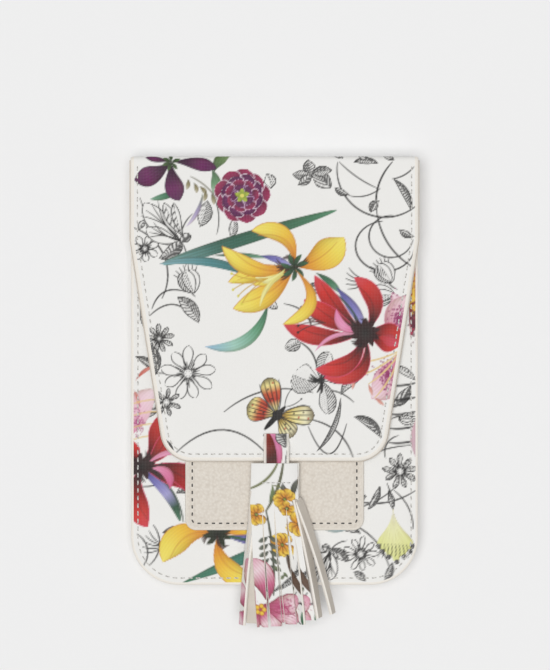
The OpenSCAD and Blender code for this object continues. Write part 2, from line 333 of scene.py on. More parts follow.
def closed_sheet(name, rows, place, cells, rings, materials, flip=False):
    """A shell over the rows' outline. rings is a list of (outwards, depth) pairs for the
    rings below the face's border; the last one bounds the underside. Border points move
    along the outline's own outward direction, found from their neighbours. The underside
    has UNDER_CELLS faces across."""
    height, half = rows
    coarse = UNDER_CELLS
    cells = int(np.ceil(cells / coarse)) * coarse
    x = half[:, None] * np.linspace(-1, 1, cells + 1)
    s = np.repeat(height[:, None], cells + 1, 1)
    last = len(height) - 1
    index = np.arange(x.size).reshape(x.shape)
    loop = np.concatenate([index[0], index[1:, -1], index[-1, -2::-1], index[-2:0:-1, 0]])
    lx, ls = x.ravel()[loop], s.ravel()[loop]
    tx, ts = np.roll(lx, -1) - np.roll(lx, 1), np.roll(ls, -1) - np.roll(ls, 1)
    size = np.hypot(tx, ts)
    nx, ns = ts / size, -tx / size
    top = ls >= height[-1] - 1e-6
    ns[top] = 0
    nx[top] = np.where(np.abs(lx[top]) > half[-1] - 1e-6, np.sign(lx[top]), 0)
    points = [place(x, s, 0.0).reshape(-1, 3)]
    flat = [np.stack([x.ravel(), s.ravel()], 1)]
    for out, depth in rings:
        points.append(place(lx + out * nx, ls + out * ns, depth))
        flat.append(np.stack([lx + (out + depth) * nx, ls + (out + depth) * ns], 1))
    grid = np.stack([index[:-1, :-1], index[:-1, 1:], index[1:, 1:], index[1:, :-1]], -1)
    faces = [grid.reshape(-1, 4)]
    count = len(loop)
    here = loop
    for k in range(len(rings)):
        below = x.size + k * count + np.arange(count)
        band = [np.roll(here, -1), here, below, np.roll(below, -1)]
        faces.append(np.stack(band, -1))
        here = below
    position = np.full(x.size, -1)
    position[loop] = np.arange(count)
    end = x.size + (len(rings) - 1) * count
    ring = np.where(position >= 0, end + position, -1)[index]
    edge = points[-1]
    left, right = edge[position[index[:, 0]]], edge[position[index[:, -1]]]
    share = np.linspace(0, 1, coarse + 1)[1:-1]
    inner = left[1:last, None] + share[:, None] * (right - left)[1:last, None]
    under = np.zeros((last + 1, coarse + 1), int)
    under[:, 0], under[:, -1] = ring[:, 0], ring[:, -1]
    start = x.size + len(rings) * count
    new = np.arange((last - 1) * (coarse - 1))
    under[1:last, 1:-1] = start + new.reshape(last - 1, coarse - 1)
    points.append(inner.reshape(-1, 3))
    flat.append(inner.reshape(-1, 3)[:, :2])
    mid = under[1:last]
    quads = np.stack([mid[:-1, :-1], mid[1:, :-1], mid[1:, 1:], mid[:-1, 1:]], -1)
    faces.append(quads.reshape(-1, 4))
    ends = []
    per = cells // coarse
    for m in range(coarse):
        low = ring[0, m * per : (m + 1) * per + 1][::-1]
        ends.append([*low, under[1, m], under[1, m + 1]])
        high = ring[last, m * per : (m + 1) * per + 1]
        ends.append([under[last - 1, m], *high, under[last - 1, m + 1]])
    slots = [np.full(len(f), min(k, 1)) for k, f in enumerate(faces[:-1])]
    slots.append(np.full(len(faces[-1]) + len(ends), 2))
    every = [f.tolist() for f in faces] + [[[int(i) for i in f] for f in ends]]
    every = [f for part in every for f in part]
    if flip:
        every = [f[::-1] for f in every]
    obj = mesh_object(name, np.concatenate(points), every, np.concatenate(slots), materials)
    sheet_points(obj, np.concatenate(flat))
    return obj, x.ravel(), s.ravel()


def round_edge(wide, fall, thick, inset=0.0, recess=0.0):
    """The rings of a cut edge: a quarter ellipse, wide across and fall deep, the wall, and
    an optional step in to a recess under the middle of the sheet."""
    angle = np.linspace(0, np.pi / 2, 6)[1:]
    rings = [(wide * np.sin(a), fall * (1 - np.cos(a))) for a in angle]
    rings += [(wide, thick)]
    if recess:
        rings += [(wide - inset, thick), (wide - inset, recess)]
    return rings


print("sheet builder ready; one face cell is", CELL, "mm")

# %% [markdown]
# ## Coated cotton
# The cloth is cotton with a thin plastic coat, pressed with a fine square grain like canvas.
# The grain shows as small raised squares with thin valleys, where the ink runs paler. It is
# worked out from the flat sheet's own coordinates, so it bends with the cloth at the folds.

# %% Grain and cloth materials
GRAIN = 0.62
COTTON_WHITE = "#EFEEEB"


def flat_place(tree):
    """The point's place on the flat sheet, in metres."""
    return add(tree, "ShaderNodeAttribute", attribute_name="flat").outputs["Vector"]


def object_place(tree):
    """The point's place in the object's own coordinates, in metres."""
    return add(tree, "ShaderNodeTexCoord").outputs["Object"]


def math(tree, operation, a, b=0.0):
    """One number from two."""
    return add(tree, "ShaderNodeMath", {0: a, 1: b}, operation=operation).outputs[0]


def noise(tree, place, size, detail=3.0, rough=0.6):
    """Noise whose lumps are about size millimetres across."""
    scale = {"Vector": place, "Scale": 1 / (size * MM), "Detail": detail, "Roughness": rough}
    return add(tree, "ShaderNodeTexNoise", scale).outputs[0]


def square_grain(tree, place, pitch):
    """Height of a square grain: the square root of |sin| across times |sin| along."""
    wired = {0: place, "Scale": np.pi / (pitch * MM)}
    scaled = add(tree, "ShaderNodeVectorMath", wired, operation="SCALE")
    parts = add(tree, "ShaderNodeSeparateXYZ", {0: scaled.outputs[0]}).outputs
    waves = [math(tree, "ABSOLUTE", math(tree, "SINE", part)) for part in parts[:2]]
    return math(tree, "POWER", math(tree, "MULTIPLY", *waves), 0.5)


def bump(tree, height, strength, depth):
    """A bump from a height map. depth is the height of a full step, in millimetres."""
    wired = {"Height": height, "Strength": strength, "Distance": depth * MM}
    return add(tree, "ShaderNodeBump", wired).outputs[0]


def mix(tree, share, low, high):
    """One colour from two, by a share from 0 to 1."""
    node = add(tree, "ShaderNodeMix", data_type="RGBA")
    for name, value in (("Factor_Float", share), ("A_Color", low), ("B_Color", high)):
        socket = next(s for s in node.inputs if s.identifier == name)
        if isinstance(value, bpy.types.NodeSocket):
            tree.links.new(value, socket)
        else:
            socket.default_value = value
    return next(s for s in node.outputs if s.identifier == "Result_Color")


def span_map(tree, value, low, high, to_low=0.0, to_high=1.0):
    """A number moved from one range to another and kept inside it."""
    wired = {"Value": value, 1: low, 2: high, 3: to_low, 4: to_high}
    return add(tree, "ShaderNodeMapRange", wired).outputs[0]


def printed_cotton():
    """Coated cotton with the print: ink is paler in the grain's valleys, satin coat."""
    made, tree = material("printed coated cotton")
    place = flat_place(tree)
    ink = add(tree, "ShaderNodeAttribute", attribute_name="print").outputs["Color"]
    height = square_grain(tree, place, GRAIN)
    valley = span_map(tree, height, 0.05, 0.55, 0.09, 0.0)
    paler = mix(tree, valley, ink, rgba("#F4F2EF"))
    cloud = span_map(tree, noise(tree, place, 9.0), 0.3, 0.7, 0.0, 0.04)
    colour = mix(tree, cloud, paler, rgba("#CFC8BE"))
    rough = span_map(tree, noise(tree, place, 0.8), 0.2, 0.8, 0.40, 0.56)
    rolled = math(tree, "ADD", height, math(tree, "MULTIPLY", noise(tree, place, 1.4), 0.6))
    return surface(made, colour, rough, bump(tree, rolled, 0.55, 0.09), Specular_IOR_Level=0.14)


def plain_cloth(name, code, pitch, depth, rough):
    """Cloth or coated cloth in one dyed colour: square weave, slight clouding, painted shade in
    its valleys.
    """
    made, tree = material(name)
    place = flat_place(tree)
    height = square_grain(tree, place, pitch)
    fibre = noise(tree, place, 0.35, 4.0, 0.7)
    cloud = span_map(tree, noise(tree, place, 7.0), 0.25, 0.75, 0.0, 0.16)
    # The weave's low valleys mix towards the dark colour: painted shade, broken up by the fibre
    # noise.
    valley_shade = math(tree, "MULTIPLY", span_map(tree, height, 0.0, 0.6, 0.22, 0.0), fibre)
    colour = mix(tree, math(tree, "ADD", cloud, valley_shade), rgba(code), rgba("#8D8276"))
    rolled = math(tree, "ADD", height, math(tree, "MULTIPLY", fibre, 0.8))
    return surface(made, colour, rough, bump(tree, rolled, 0.6, depth), Specular_IOR_Level=0.3)


def cut_edge():
    """The raw edge: bonded layers dressed with cream edge paint, slightly uneven."""
    made, tree = material("painted cut edge")
    place = flat_place(tree)
    uneven = noise(tree, place, 0.5, 4.0, 0.65)
    colour = mix(tree, span_map(tree, uneven, 0.3, 0.75), rgba("#F2EEE7"), rgba("#EAE3D8"))
    return surface(made, colour, 0.62, bump(tree, uneven, 0.5, 0.12), Specular_IOR_Level=0.3)


def pebbled_leather():
    """Drum-dyed leather pressed with a pebble grain: round lumps about a millimetre wide
    with painted shade in the soft creases between them, and a satin finish."""
    made, tree = material("pebbled leather")
    place = flat_place(tree)
    wander = {"Vector": place, "Scale": 1 / (1.6 * MM), "Detail": 2.0}
    wander = add(tree, "ShaderNodeTexNoise", wander).outputs["Color"]
    bent = {0: wander, "Scale": 0.9 * MM}
    bent = add(tree, "ShaderNodeVectorMath", bent, operation="SCALE")
    moved = add(tree, "ShaderNodeVectorMath", {0: place, 1: bent.outputs[0]})
    pebble = {"Vector": moved.outputs[0], "Scale": 1 / (1.0 * MM)}
    cells = add(tree, "ShaderNodeTexVoronoi", pebble, feature="SMOOTH_F1")
    lump = span_map(tree, cells.outputs["Distance"], 0.1, 0.75, 1.0, 0.0)
    fine = noise(tree, place, 0.3, 3.0, 0.6)
    cloud = noise(tree, place, 12.0)
    # Lumps are lighter and the creases between them darker: painted shade in the creases.
    crease_shaded = mix(tree, lump, rgba("#D2C9BD"), rgba("#E0D9CE"))
    colour = mix(tree, span_map(tree, cloud, 0.3, 0.7, 0.0, 0.2), crease_shaded, rgba("#D6CDC1"))
    height = math(tree, "ADD", lump, math(tree, "MULTIPLY", fine, 0.25))
    return surface(made, colour, span_map(tree, lump, 0.0, 1.0, 0.62, 0.46),
                   bump(tree, height, 0.5, 0.12), Specular_IOR_Level=0.4)


def sewing_thread(name, code, shade):
    """Twisted polyester thread: thin slanting plies with painted shade in the lines between them.
    """
    made, tree = material(name)
    place = object_place(tree)
    twist = {"Vector": place, "Scale": 1 / (0.45 * MM) / 6.28, "Distortion": 1.5}
    ply = add(tree, "ShaderNodeTexWave", twist, bands_direction="DIAGONAL").outputs["Fac"]
    colour = mix(tree, span_map(tree, ply, 0.0, 0.6), rgba(shade), rgba(code))
    return surface(made, colour, 0.55, bump(tree, ply, 0.6, 0.05), Sheen_Weight=0.2)


def plated_metal(name, code, rough):
    """Plated brass or nickel: bright, with fine handling scratches in its roughness."""
    made, tree = material(name)
    place = object_place(tree)
    rub = noise(tree, place, 0.4, 5.0, 0.7)
    dull = span_map(tree, noise(tree, place, 3.0), 0.3, 0.8, 0, 0.25)
    colour = mix(tree, dull, rgba(code), rgba("#8C7A50"))
    return surface(made, colour, span_map(tree, rub, 0.2, 0.8, rough, rough + 0.15),
                   bump(tree, rub, 0.15, 0.02), Metallic=1.0)


def fibre_board():
    """Pressed fibre board: dull, flecked, a little fuzzy."""
    made, tree = material("pressed fibre board")
    place = object_place(tree)
    fleck = noise(tree, place, 0.7, 5.0, 0.75)
    colour = mix(tree, span_map(tree, fleck, 0.35, 0.7), rgba("#BCAC92"), rgba("#9C8A6E"))
    return surface(made, colour, 0.85, bump(tree, fleck, 0.5, 0.08))


PRINTED = printed_cotton()
EDGE = cut_edge()
LEATHER = pebbled_leather()
GREIGE = plain_cloth("greige coated cotton", "#D9D1C6", 0.5, 0.05, 0.6)
LEATHER_EDGE = plain_cloth("painted leather edge", "#E9E2D7", 0.5, 0.04, 0.6)
LINING = plain_cloth("woven lining", "#CFC6BA", 0.42, 0.08, 0.8)
# The off-white thread is toned grey: partly painted shade, as of a thread sunk in its seam's
# groove.
PALE_THREAD = sewing_thread("off-white thread", "#CFCDC8", "#A3A09B")
DARK_THREAD = sewing_thread("charcoal thread", "#4A4744", "#1F1D1C")
SNAP_METAL = plated_metal("pale gold plate", "#D8CBA6", 0.4)
MAGNET = plated_metal("nickel plate", "#8A8B8E", 0.3)
BOARD = fibre_board()
print(len(bpy.data.materials), "materials")

# %% [markdown]
# ## Drawing the print
# The print is a loose botanical pattern: a few painted blooms over fine pen engraving. A
# picture could be wrapped on the cloth, but drawing it with shapes keeps it sharp at any
# size and needs no file. Each shape is a line down its middle and a half width at every
# point of it, so a cloth point is inside if it lies nearer to the line than that. One rule
# then draws a petal, a leaf, a blade of grass or a thin ink line.

# %% Brush
SOFT = 0.33
PEN_WIDER, PEN_DARKER = 1.22, 1.09
INK = rgb("#101012")
GROUND = rgb(COTTON_WHITE)


def ramp(share, codes):
    """Colours along a list of hex codes, spread evenly over a share from 0 to 1."""
    stops = np.array([rgb(code) for code in codes])
    at = np.linspace(0, 1, len(codes))
    return np.stack([np.interp(share, at, stops[:, k]) for k in range(3)], -1)


def curve(a, b, bend=0.0):
    """A line of points from a to b. Its middle is pushed left by bend times its length."""
    a, b = np.array(a, float), np.array(b, float)
    left = np.array([a[1] - b[1], b[0] - a[0]])
    mid = (a + b) / 2 + 2 * bend * left
    t = np.linspace(0, 1, 15)[:, None]
    return (1 - t) ** 2 * a + 2 * t * (1 - t) * mid + t**2 * b


def arc(centre, radius, start, stop, flat=1.0):
    """Points round a circle or ellipse between two angles in degrees."""
    angle = np.radians(np.linspace(start, stop, 25))
    return np.array(centre) + radius * np.stack([np.cos(angle), flat * np.sin(angle)], 1)


def polar(centre, radius, degrees):
    """The point at that distance and angle from a centre."""
    angle = np.radians(degrees)
    return np.array(centre) + radius * np.array([np.cos(angle), np.sin(angle)])


def near(cloth, line, margin):
    """Which cloth points lie inside the line's box, widened by margin."""
    low, high = line.min(0) - margin, line.max(0) + margin
    x, y = cloth["x"], cloth["y"]
    inside = (x > low[0]) & (x < high[0]) & (y > low[1]) & (y < high[1])
    return np.flatnonzero(inside)


def along(line, x, y):
    """For each point, its nearest place on the line as a share of the line's length, and
    its distance from it, positive on the line's left."""
    step = line[1:] - line[:-1]
    size = np.maximum(np.hypot(*step.T), 1e-9)
    px, py = x[:, None] - line[:-1, 0], y[:, None] - line[:-1, 1]
    part = np.clip((px * step[:, 0] + py * step[:, 1]) / size**2, 0, 1)
    gap = np.hypot(px - part * step[:, 0], py - part * step[:, 1])
    best = gap.argmin(1)
    row = np.arange(len(x))
    before = np.concatenate([[0], np.cumsum(size)])[:-1]
    share = (before[best] + part[row, best] * size[best]) / size.sum()
    turn = step[best, 0] * py[row, best] - step[best, 1] * px[row, best]
    return share, np.where(turn < 0, -1, 1) * gap[row, best]


def lay(cloth, where, colour, cover):
    """Lays colour over the cloth points, each by its own cover from 0 to 1."""
    old = cloth["rgb"][where]
    cloth["rgb"][where] = old + np.clip(cover, 0, 1)[:, None] * (colour - old)


def ink(cloth, line, width=0.5, strength=0.9, colour=INK, taper=0.5):
    """A pen line, thinner towards its ends by taper. Lines are drawn wider and darker than
    their numbers say, or they would be too fine to show."""
    width, strength = PEN_WIDER * width, min(1.0, PEN_DARKER * strength)
    where = near(cloth, line, width + 1)
    if not len(where):
        return
    share, gap = along(line, cloth["x"][where], cloth["y"][where])
    half = width / 2 * (1 - taper * np.abs(2 * share - 1) ** 3)
    lay(cloth, where, colour, strength * np.clip((half - np.abs(gap)) / SOFT + 0.5, 0, 1))


def leaf_field(cloth, a, b, wide, bend, middle, blunt):
    """Points near a leaf with their share along it, distance from its midline and the
    leaf's half width there: wide times sin(pi t^p)^blunt, widest at the share middle."""
    line = curve(a, b, bend)
    where = near(cloth, line, wide + 1)
    share, gap = along(line, cloth["x"][where], cloth["y"][where])
    power = np.log(0.5) / np.log(middle)
    half = wide * np.sin(np.pi * np.clip(share, 1e-4, 1 - 1e-4) ** power) ** blunt
    return where, share, gap, half


def petal(cloth, a, b, wide, codes, bend=0.0, middle=0.55, blunt=0.9, vein=0.22, edge=None):
    """A painted petal or blade: its colours run from a to b, thin darker veins run along
    it, one side is in shade, and an edge colour may line it."""
    where, share, gap, half = leaf_field(cloth, a, b, wide, bend, middle, blunt)
    if not len(where):
        return
    cover = np.clip((half - np.abs(gap)) / SOFT + 0.5, 0, 1)
    side = gap / np.maximum(half, 0.05)
    colour = ramp(share, codes)
    lines = 0.5 + 0.5 * np.sin(gap * 5.2 + 1.8 * np.sin(share * 6))
    shade = 1 - vein * lines * (1 - 0.6 * share) - 0.40 * np.clip(side, 0, 1) ** 2
    shade = shade - 0.10 * np.clip(-side, 0, 1) ** 3
    colour = colour * np.stack([shade**0.8, shade, shade**1.3], 1)
    if edge is not None:
        rim = np.clip(1.15 - (half - np.abs(gap)) / 0.45, 0, 1)[:, None]
        colour = colour + rim * (rgb(edge) - colour)
    lay(cloth, where, colour, cover)


def engraved(cloth, a, b, wide, bend=0.0, dark=0.4, middle=0.5, blunt=0.9, pitch=0.95):
    """An engraver's leaf: paper white under a light wash, outlined, with a rib and slanting
    hatch lines that are broader on its shaded side. dark is the share that the hatch covers."""
    where, share, gap, half = leaf_field(cloth, a, b, wide, bend, middle, blunt)
    if not len(where):
        return
    size = np.hypot(b[0] - a[0], b[1] - a[1])
    cover = np.clip((half - np.abs(gap)) / SOFT + 0.5, 0, 1)
    lay(cloth, where, GROUND, cover)
    wash = np.clip(0.5 + 0.5 * gap / np.maximum(half, 0.05), 0, 1) * (1 - 0.5 * share)
    lay(cloth, where, INK, cover * wash * 0.75 * dark)
    line = np.clip(1.25 - np.abs(half - np.abs(gap) - 0.12) / 0.38, 0, 1)
    rib = np.clip(1.0 - np.abs(gap) / 0.24, 0, 1) * (share < 0.92)
    phase = (share * size + np.abs(gap) * 0.9) / pitch
    tone = dark + 0.28 * np.where(gap > 0, 1, -0.6) * (half > 0.6)
    hatch = np.clip((np.sin(2 * np.pi * phase) + 2 * tone - 1) * 1.6, 0, 1) * (dark > 0)
    inked = np.maximum(np.maximum(line, 0.8 * rib * (dark > 0)), 0.85 * hatch) * (cover > 0.05)
    lay(cloth, where, INK, inked * np.minimum(cover * 1.5, 1))


def dot(cloth, centre, radius, code, rim=None, strength=1.0):
    """A filled dot, with an optional rim colour."""
    line = np.array([centre, centre], float)
    where = near(cloth, line, radius + 1)
    away = np.hypot(cloth["x"][where] - centre[0], cloth["y"][where] - centre[1])
    colour = np.tile(rgb(code), (len(where), 1))
    if rim:
        edge = np.clip((away - radius + 0.5) / 0.35, 0, 1)[:, None]
        colour = colour + edge * (rgb(rim) - colour)
    lay(cloth, where, colour, strength * np.clip((radius - away) / SOFT + 0.5, 0, 1))


def pen(cloth, start, end, bend=0.0, width=0.5, strength=0.9, colour=INK, taper=0.5):
    """A pen line drawn along a curve."""
    ink(cloth, curve(start, end, bend), width, strength, colour, taper)


def strokes(cloth, brush, *rows):
    """One brush many times: each row holds what that brush takes after the cloth."""
    for row in rows:
        brush(cloth, *row)


# %% [markdown]
# ## Flowers and insects
# Each bloom is a ring or spray of the same few strokes. They are textbook shapes of a lily,
# a rosette, a daisy and a butterfly, so that the pattern is nobody's drawing.

# %% Blooms
YELLOW = ["#B8661C", "#E39A2E", "#EFC53F", "#F1DD5A", "#F3E36A"]
RED = ["#140405", "#4E0C0D", "#A81D1A", "#D0302A", "#D2424E"]
PURPLE = ["#1A081C", "#44123F", "#6E1E60", "#52184C"]
CRIMSON = ["#1C0624", "#3E103C", "#7E1E50", "#A62C5C"]
PINK = ["#C84B80", "#E08FB0", "#EEC3D4", "#F1DDE4"]
GREEN = ["#27533C", "#40795A", "#7BA68C"]
TEAL = ["#86B3BE", "#4F8D93", "#2C6663"]
LAVENDER = ["#4B4A93", "#7E7BC2", "#A9A6D8"]
HEART = ["#0E0809", "#3A1116"]
AMBER, ROSE, NIGHT, CREAM_RAY = "#D08A2C", "#D6486A", "#1B0A0C", "#E3C685"


def lily(cloth, centre, petals, codes, edge, throat="#3A1A12"):
    """A lily: petals given as (reach, angle, half width, bend), each from the centre out,
    with dark throat streaks and a spray of stamens."""
    for reach, angle, wide, bend in petals:
        tip = polar(centre, reach, angle)
        petal(cloth, centre, tip, wide, codes, bend, 0.62, 0.85, 0.13, edge)
        pen(cloth, centre, polar(centre, 0.86 * reach, angle), bend, 0.5, 0.35, rgb(codes[0]))
    for reach, angle, wide, bend in petals:
        for fan in (-9, 0, 9):
            end = polar(centre, 0.27 * reach, angle + fan)
            pen(cloth, centre, end, bend, 0.75, 0.8, rgb(throat), 0.9)
    dot(cloth, centre, 1.5, throat, strength=0.9)


def heart(cloth, centre, angles, reach, wide, codes, bend):
    """The small dark leaves round a bloom's middle, one at each angle."""
    for angle in angles:
        petal(cloth, centre, polar(centre, reach, angle), wide, codes, bend)


def stamens(cloth, centre, reach, angle, code, tip):
    """Five thin curved filaments with a dot on each end."""
    for k, fan in enumerate((-26, -12, 0, 13, 27)):
        end = polar(centre, reach * (1 - 0.06 * (k % 2)), angle + fan)
        pen(cloth, centre, end, 0.08 if fan < 0 else -0.08, 0.42, 0.8, rgb(code), 0.2)
        dot(cloth, end, 0.55, tip)


def rosette(cloth, centre, radius):
    """A many-petalled round bloom: three rings of notched petals with pale edges."""
    rings = ((1.0, 9, 0.36, CRIMSON, "#F1DDEA"), (0.78, 8, 0.30, PURPLE, "#EDD9E8"),
             (0.60, 7, 0.24, CRIMSON, "#E9C6DC"), (0.42, 5, 0.2, PURPLE, "#C79CC6"))
    for k, (reach, count, wide, codes, edge) in enumerate(rings):
        for n in range(count):
            turn = 360 * (n + 0.5 * k) / count
            tip = polar(centre, reach * radius * (1 - 0.07 * ((3 * n + k) % 4) / 3), turn)
            petal(cloth, polar(centre, 0.1 * radius, turn), tip, wide * radius, codes, 0.04,
                  0.72, 0.6, 0.45, edge)
    for n in range(5):
        tip = polar(centre, 0.26 * radius, 72 * n + 20)
        petal(cloth, centre, tip, 0.09 * radius, ["#7B9A2E", "#B9C648"], 0, 0.5, 0.8, 0.2)
    dot(cloth, centre, 0.07 * radius, "#E2D867")


def daisy(cloth, centre, radius, count=8, turn=0.0, dark=0.15, wide=0.26, eye=0.2):
    """An engraved daisy: a ring of long white petals round a dotted eye."""
    for n in range(count):
        angle = turn + 360 * n / count
        tip = polar(centre, radius * (1 - 0.07 * (n % 2)), angle)
        start = polar(centre, 0.12 * radius, angle)
        engraved(cloth, start, tip, wide * radius, 0.03 * (-1) ** n, dark, 0.66, 0.62)
    for n in range(26):
        turn = 13.8 * n
        pen(cloth, polar(centre, eye * radius, turn),
            polar(centre, (0.32 + 0.1 * (n % 3)) * radius, turn), 0, 0.36)
    dot(cloth, centre, eye * radius, COTTON_WHITE, "#3C3C3E")
    for n in range(6):
        dot(cloth, polar(centre, 0.55 * eye * radius, 60 * n), 0.22, "#3C3C3E", strength=0.8)


def butterfly(cloth, centre, size, turn):
    """A butterfly seen from above: two pairs of wings on a dark body."""
    fore = ["#8E2A1C", "#E8C45A", "#F6EBA6", "#F6F0C8", "#5A4A32"]
    hind = ["#E8CC6A", "#F6EBA6", "#C23A2A", "#D0603C", "#F4E79A", "#3E342C"]
    wings = ((0.72, -12, 0.27, fore), (1.0, 42, 0.28, fore), (0.86, 206, 0.34, hind),
             (1.05, 146, 0.28, hind))
    for reach, angle, wide, codes in wings:
        tip = polar(centre, reach * size, angle + turn)
        petal(cloth, centre, tip, wide * size, codes, 0.0, 0.7, 0.55, 0.15, "#1C1612")
        for fan in (-16, -8, 0, 8, 16):
            end = polar(centre, 0.92 * reach * size, angle + turn + fan)
            pen(cloth, centre, end, fan / 200, 0.42, 0.85)
        for n in range(4):
            spot = polar(centre, (0.45 + 0.13 * n) * reach * size, angle + turn + 6 * (-1) ** n)
            dot(cloth, spot, 0.42, "#B7331F" if n % 2 else "#2E2A26", strength=0.85)
    head = polar(centre, 0.3 * size, 90 + turn)
    pen(cloth, polar(centre, -0.5 * size, 90 + turn), head, 0, 1.9, 0.95, INK, 0.6)
    dot(cloth, centre, 0.14 * size, "#151314")
    for fan in (-22, 22):
        end = polar(head, 0.5 * size, 90 + turn + fan)
        pen(cloth, head, end, fan / 250, 0.34, 0.85)
        dot(cloth, end, 0.4, "#3C3C3E")


def insect(cloth, head, tail):
    """A winged insect in line: a striped dark body, two open veined wings and thin legs."""
    head, tail = np.array(head, float), np.array(tail, float)
    step = tail - head
    size = np.hypot(*step)
    angle = np.degrees(np.arctan2(step[1], step[0]))
    shoulder = head + 0.3 * step
    for k, fan in enumerate((-150, -118, 62, 28, -34)):
        end = polar(shoulder, (0.75 - 0.05 * k) * size, angle + fan)
        pen(cloth, shoulder, end, 0.12 * (-1) ** k, 0.45)
    for reach, fan, wide in ((1.35, -84, 0.27), (0.95, -58, 0.2)):
        tip = polar(shoulder, reach * size, angle + fan)
        engraved(cloth, shoulder, tip, wide * size, 0.06, 0, 0.62, 0.65)
        for vein in (-14, -5, 5, 14):
            end = polar(shoulder, 0.88 * reach * size, angle + fan + vein)
            pen(cloth, shoulder, end, -vein / 130, 0.38)
    engraved(cloth, shoulder, tail, 0.17 * size, 0.1, 0.8, 0.4, 0.7, 0.8)
    engraved(cloth, head, shoulder, 0.12 * size, 0, 0.7, 0.5, 0.5, 0.7)


def sprig(cloth, line, leaves, size, dark=0.5):
    """A thin stem with engraved leaves on alternate sides, the first a little way up it."""
    ink(cloth, line, 0.45)
    for n in range(leaves):
        at = (0.15 + 0.85 * n / leaves) * (len(line) - 1)
        k = min(int(at), len(line) - 2)
        root = line[k] + (at - k) * (line[k + 1] - line[k])
        angle = np.degrees(np.arctan2(*(line[k + 1] - line[k])[::-1])) + 48 * (-1) ** n
        engraved(cloth, root, polar(root, size, angle), 0.27 * size, 0.08 * (-1) ** n, dark)


def speckle(cloth, centre, spread, count, code, size=0.4, seed=1):
    """A seeded scatter of small dots, thicker towards its centre."""
    rng = np.random.default_rng(seed)
    away = np.abs(rng.normal(0, 0.45, count))[:, None]
    angle = rng.uniform(0, 2 * np.pi, count)
    spots = away * np.stack([np.cos(angle), np.sin(angle)], 1) * np.array(spread)
    for spot in np.array(centre) + spots:
        dot(cloth, spot, size * rng.uniform(0.6, 1.2), code, strength=0.75)


def poppy(cloth, centre, size, stem):
    """A half-open seed bloom: a round cup of three petals with a crown of short rays."""
    centre, stem = np.array(centre, float), np.array(stem, float)
    away = np.degrees(np.arctan2(*(centre - stem)[::-1]))
    pen(cloth, stem, centre, 0.15, 0.5)
    foot = polar(centre, -size, away)
    for n in range(7):
        end = polar(centre, 1.25 * size, away + 16 * (n - 3))
        pen(cloth, centre, end, 0.02 * (n - 3), 0.4)
    for fan, dark in ((24, 0.35), (-24, 0.2), (0, 0.12)):
        tip = polar(centre, 0.85 * size, away + fan)
        engraved(cloth, foot, tip, 0.5 * size, fan / 300, dark, 0.6, 0.55, 1.1)


print("brush, blooms and insects ready")

# %% [markdown]
# ## Laying out the flap
# The flap carries the strongest colours: a yellow lily in the middle with a red one beside
# it, a purple spray and a rosette at the top, and engraving in between. Things further back
# are drawn first, as a printer lays light inks before dark ones.

# %% Flap print
def blank(x, s):
    """Unprinted cloth: its flat places and one colour per point."""
    return {"x": np.asarray(x), "y": np.asarray(s), "rgb": np.tile(GROUND, (len(x), 1))}


def loops_and_tendrils(cloth):
    """The long thin pen lines: arcs that cross the flap's corners."""
    strokes(cloth, ink,
        (arc((46, 84), 20, 172, 315), 0.62), (arc((46, 52), 12.3, 95, 352, 0.85), 0.62),
        (arc((48.5, 56), 9.2, 80, 350, 0.95), 0.55))
    strokes(cloth, pen,
        ((49, 87), (42.6, 66), -0.12, 0.65), ((42.6, 66), (58, 43), -0.12, 0.65),
        ((27, 87), (43, 76), -0.05, 0.45), ((31, 73), (44, 76), -0.12, 0.45),
        ((49, 80), (58, 85), -0.1, 0.5))
    ink(cloth, arc((-65, 40), 20.6, -28, 75), 0.6, 0.9)
    strokes(cloth, pen,
        ((-51, 26), (-37, 33), 0.25, 0.55), ((-52, 23), (-33, 21), 0.3, 0.55),
        ((-21, -17), (16, -9), 0.13, 0.55), ((-41, -34), (-2, -36), 0.27, 0.6),
        ((14, -20), (33, -37), 0.16, 0.6), ((14, -23), (30, -22), -0.75, 0.5),
        ((10, 12.3), (17.6, 0.5), 0.15, 0.6), ((19, -8), (33, -13), 0.12, 0.5),
        ((-54, -3), (-46, -1), 0.1, 0.45))


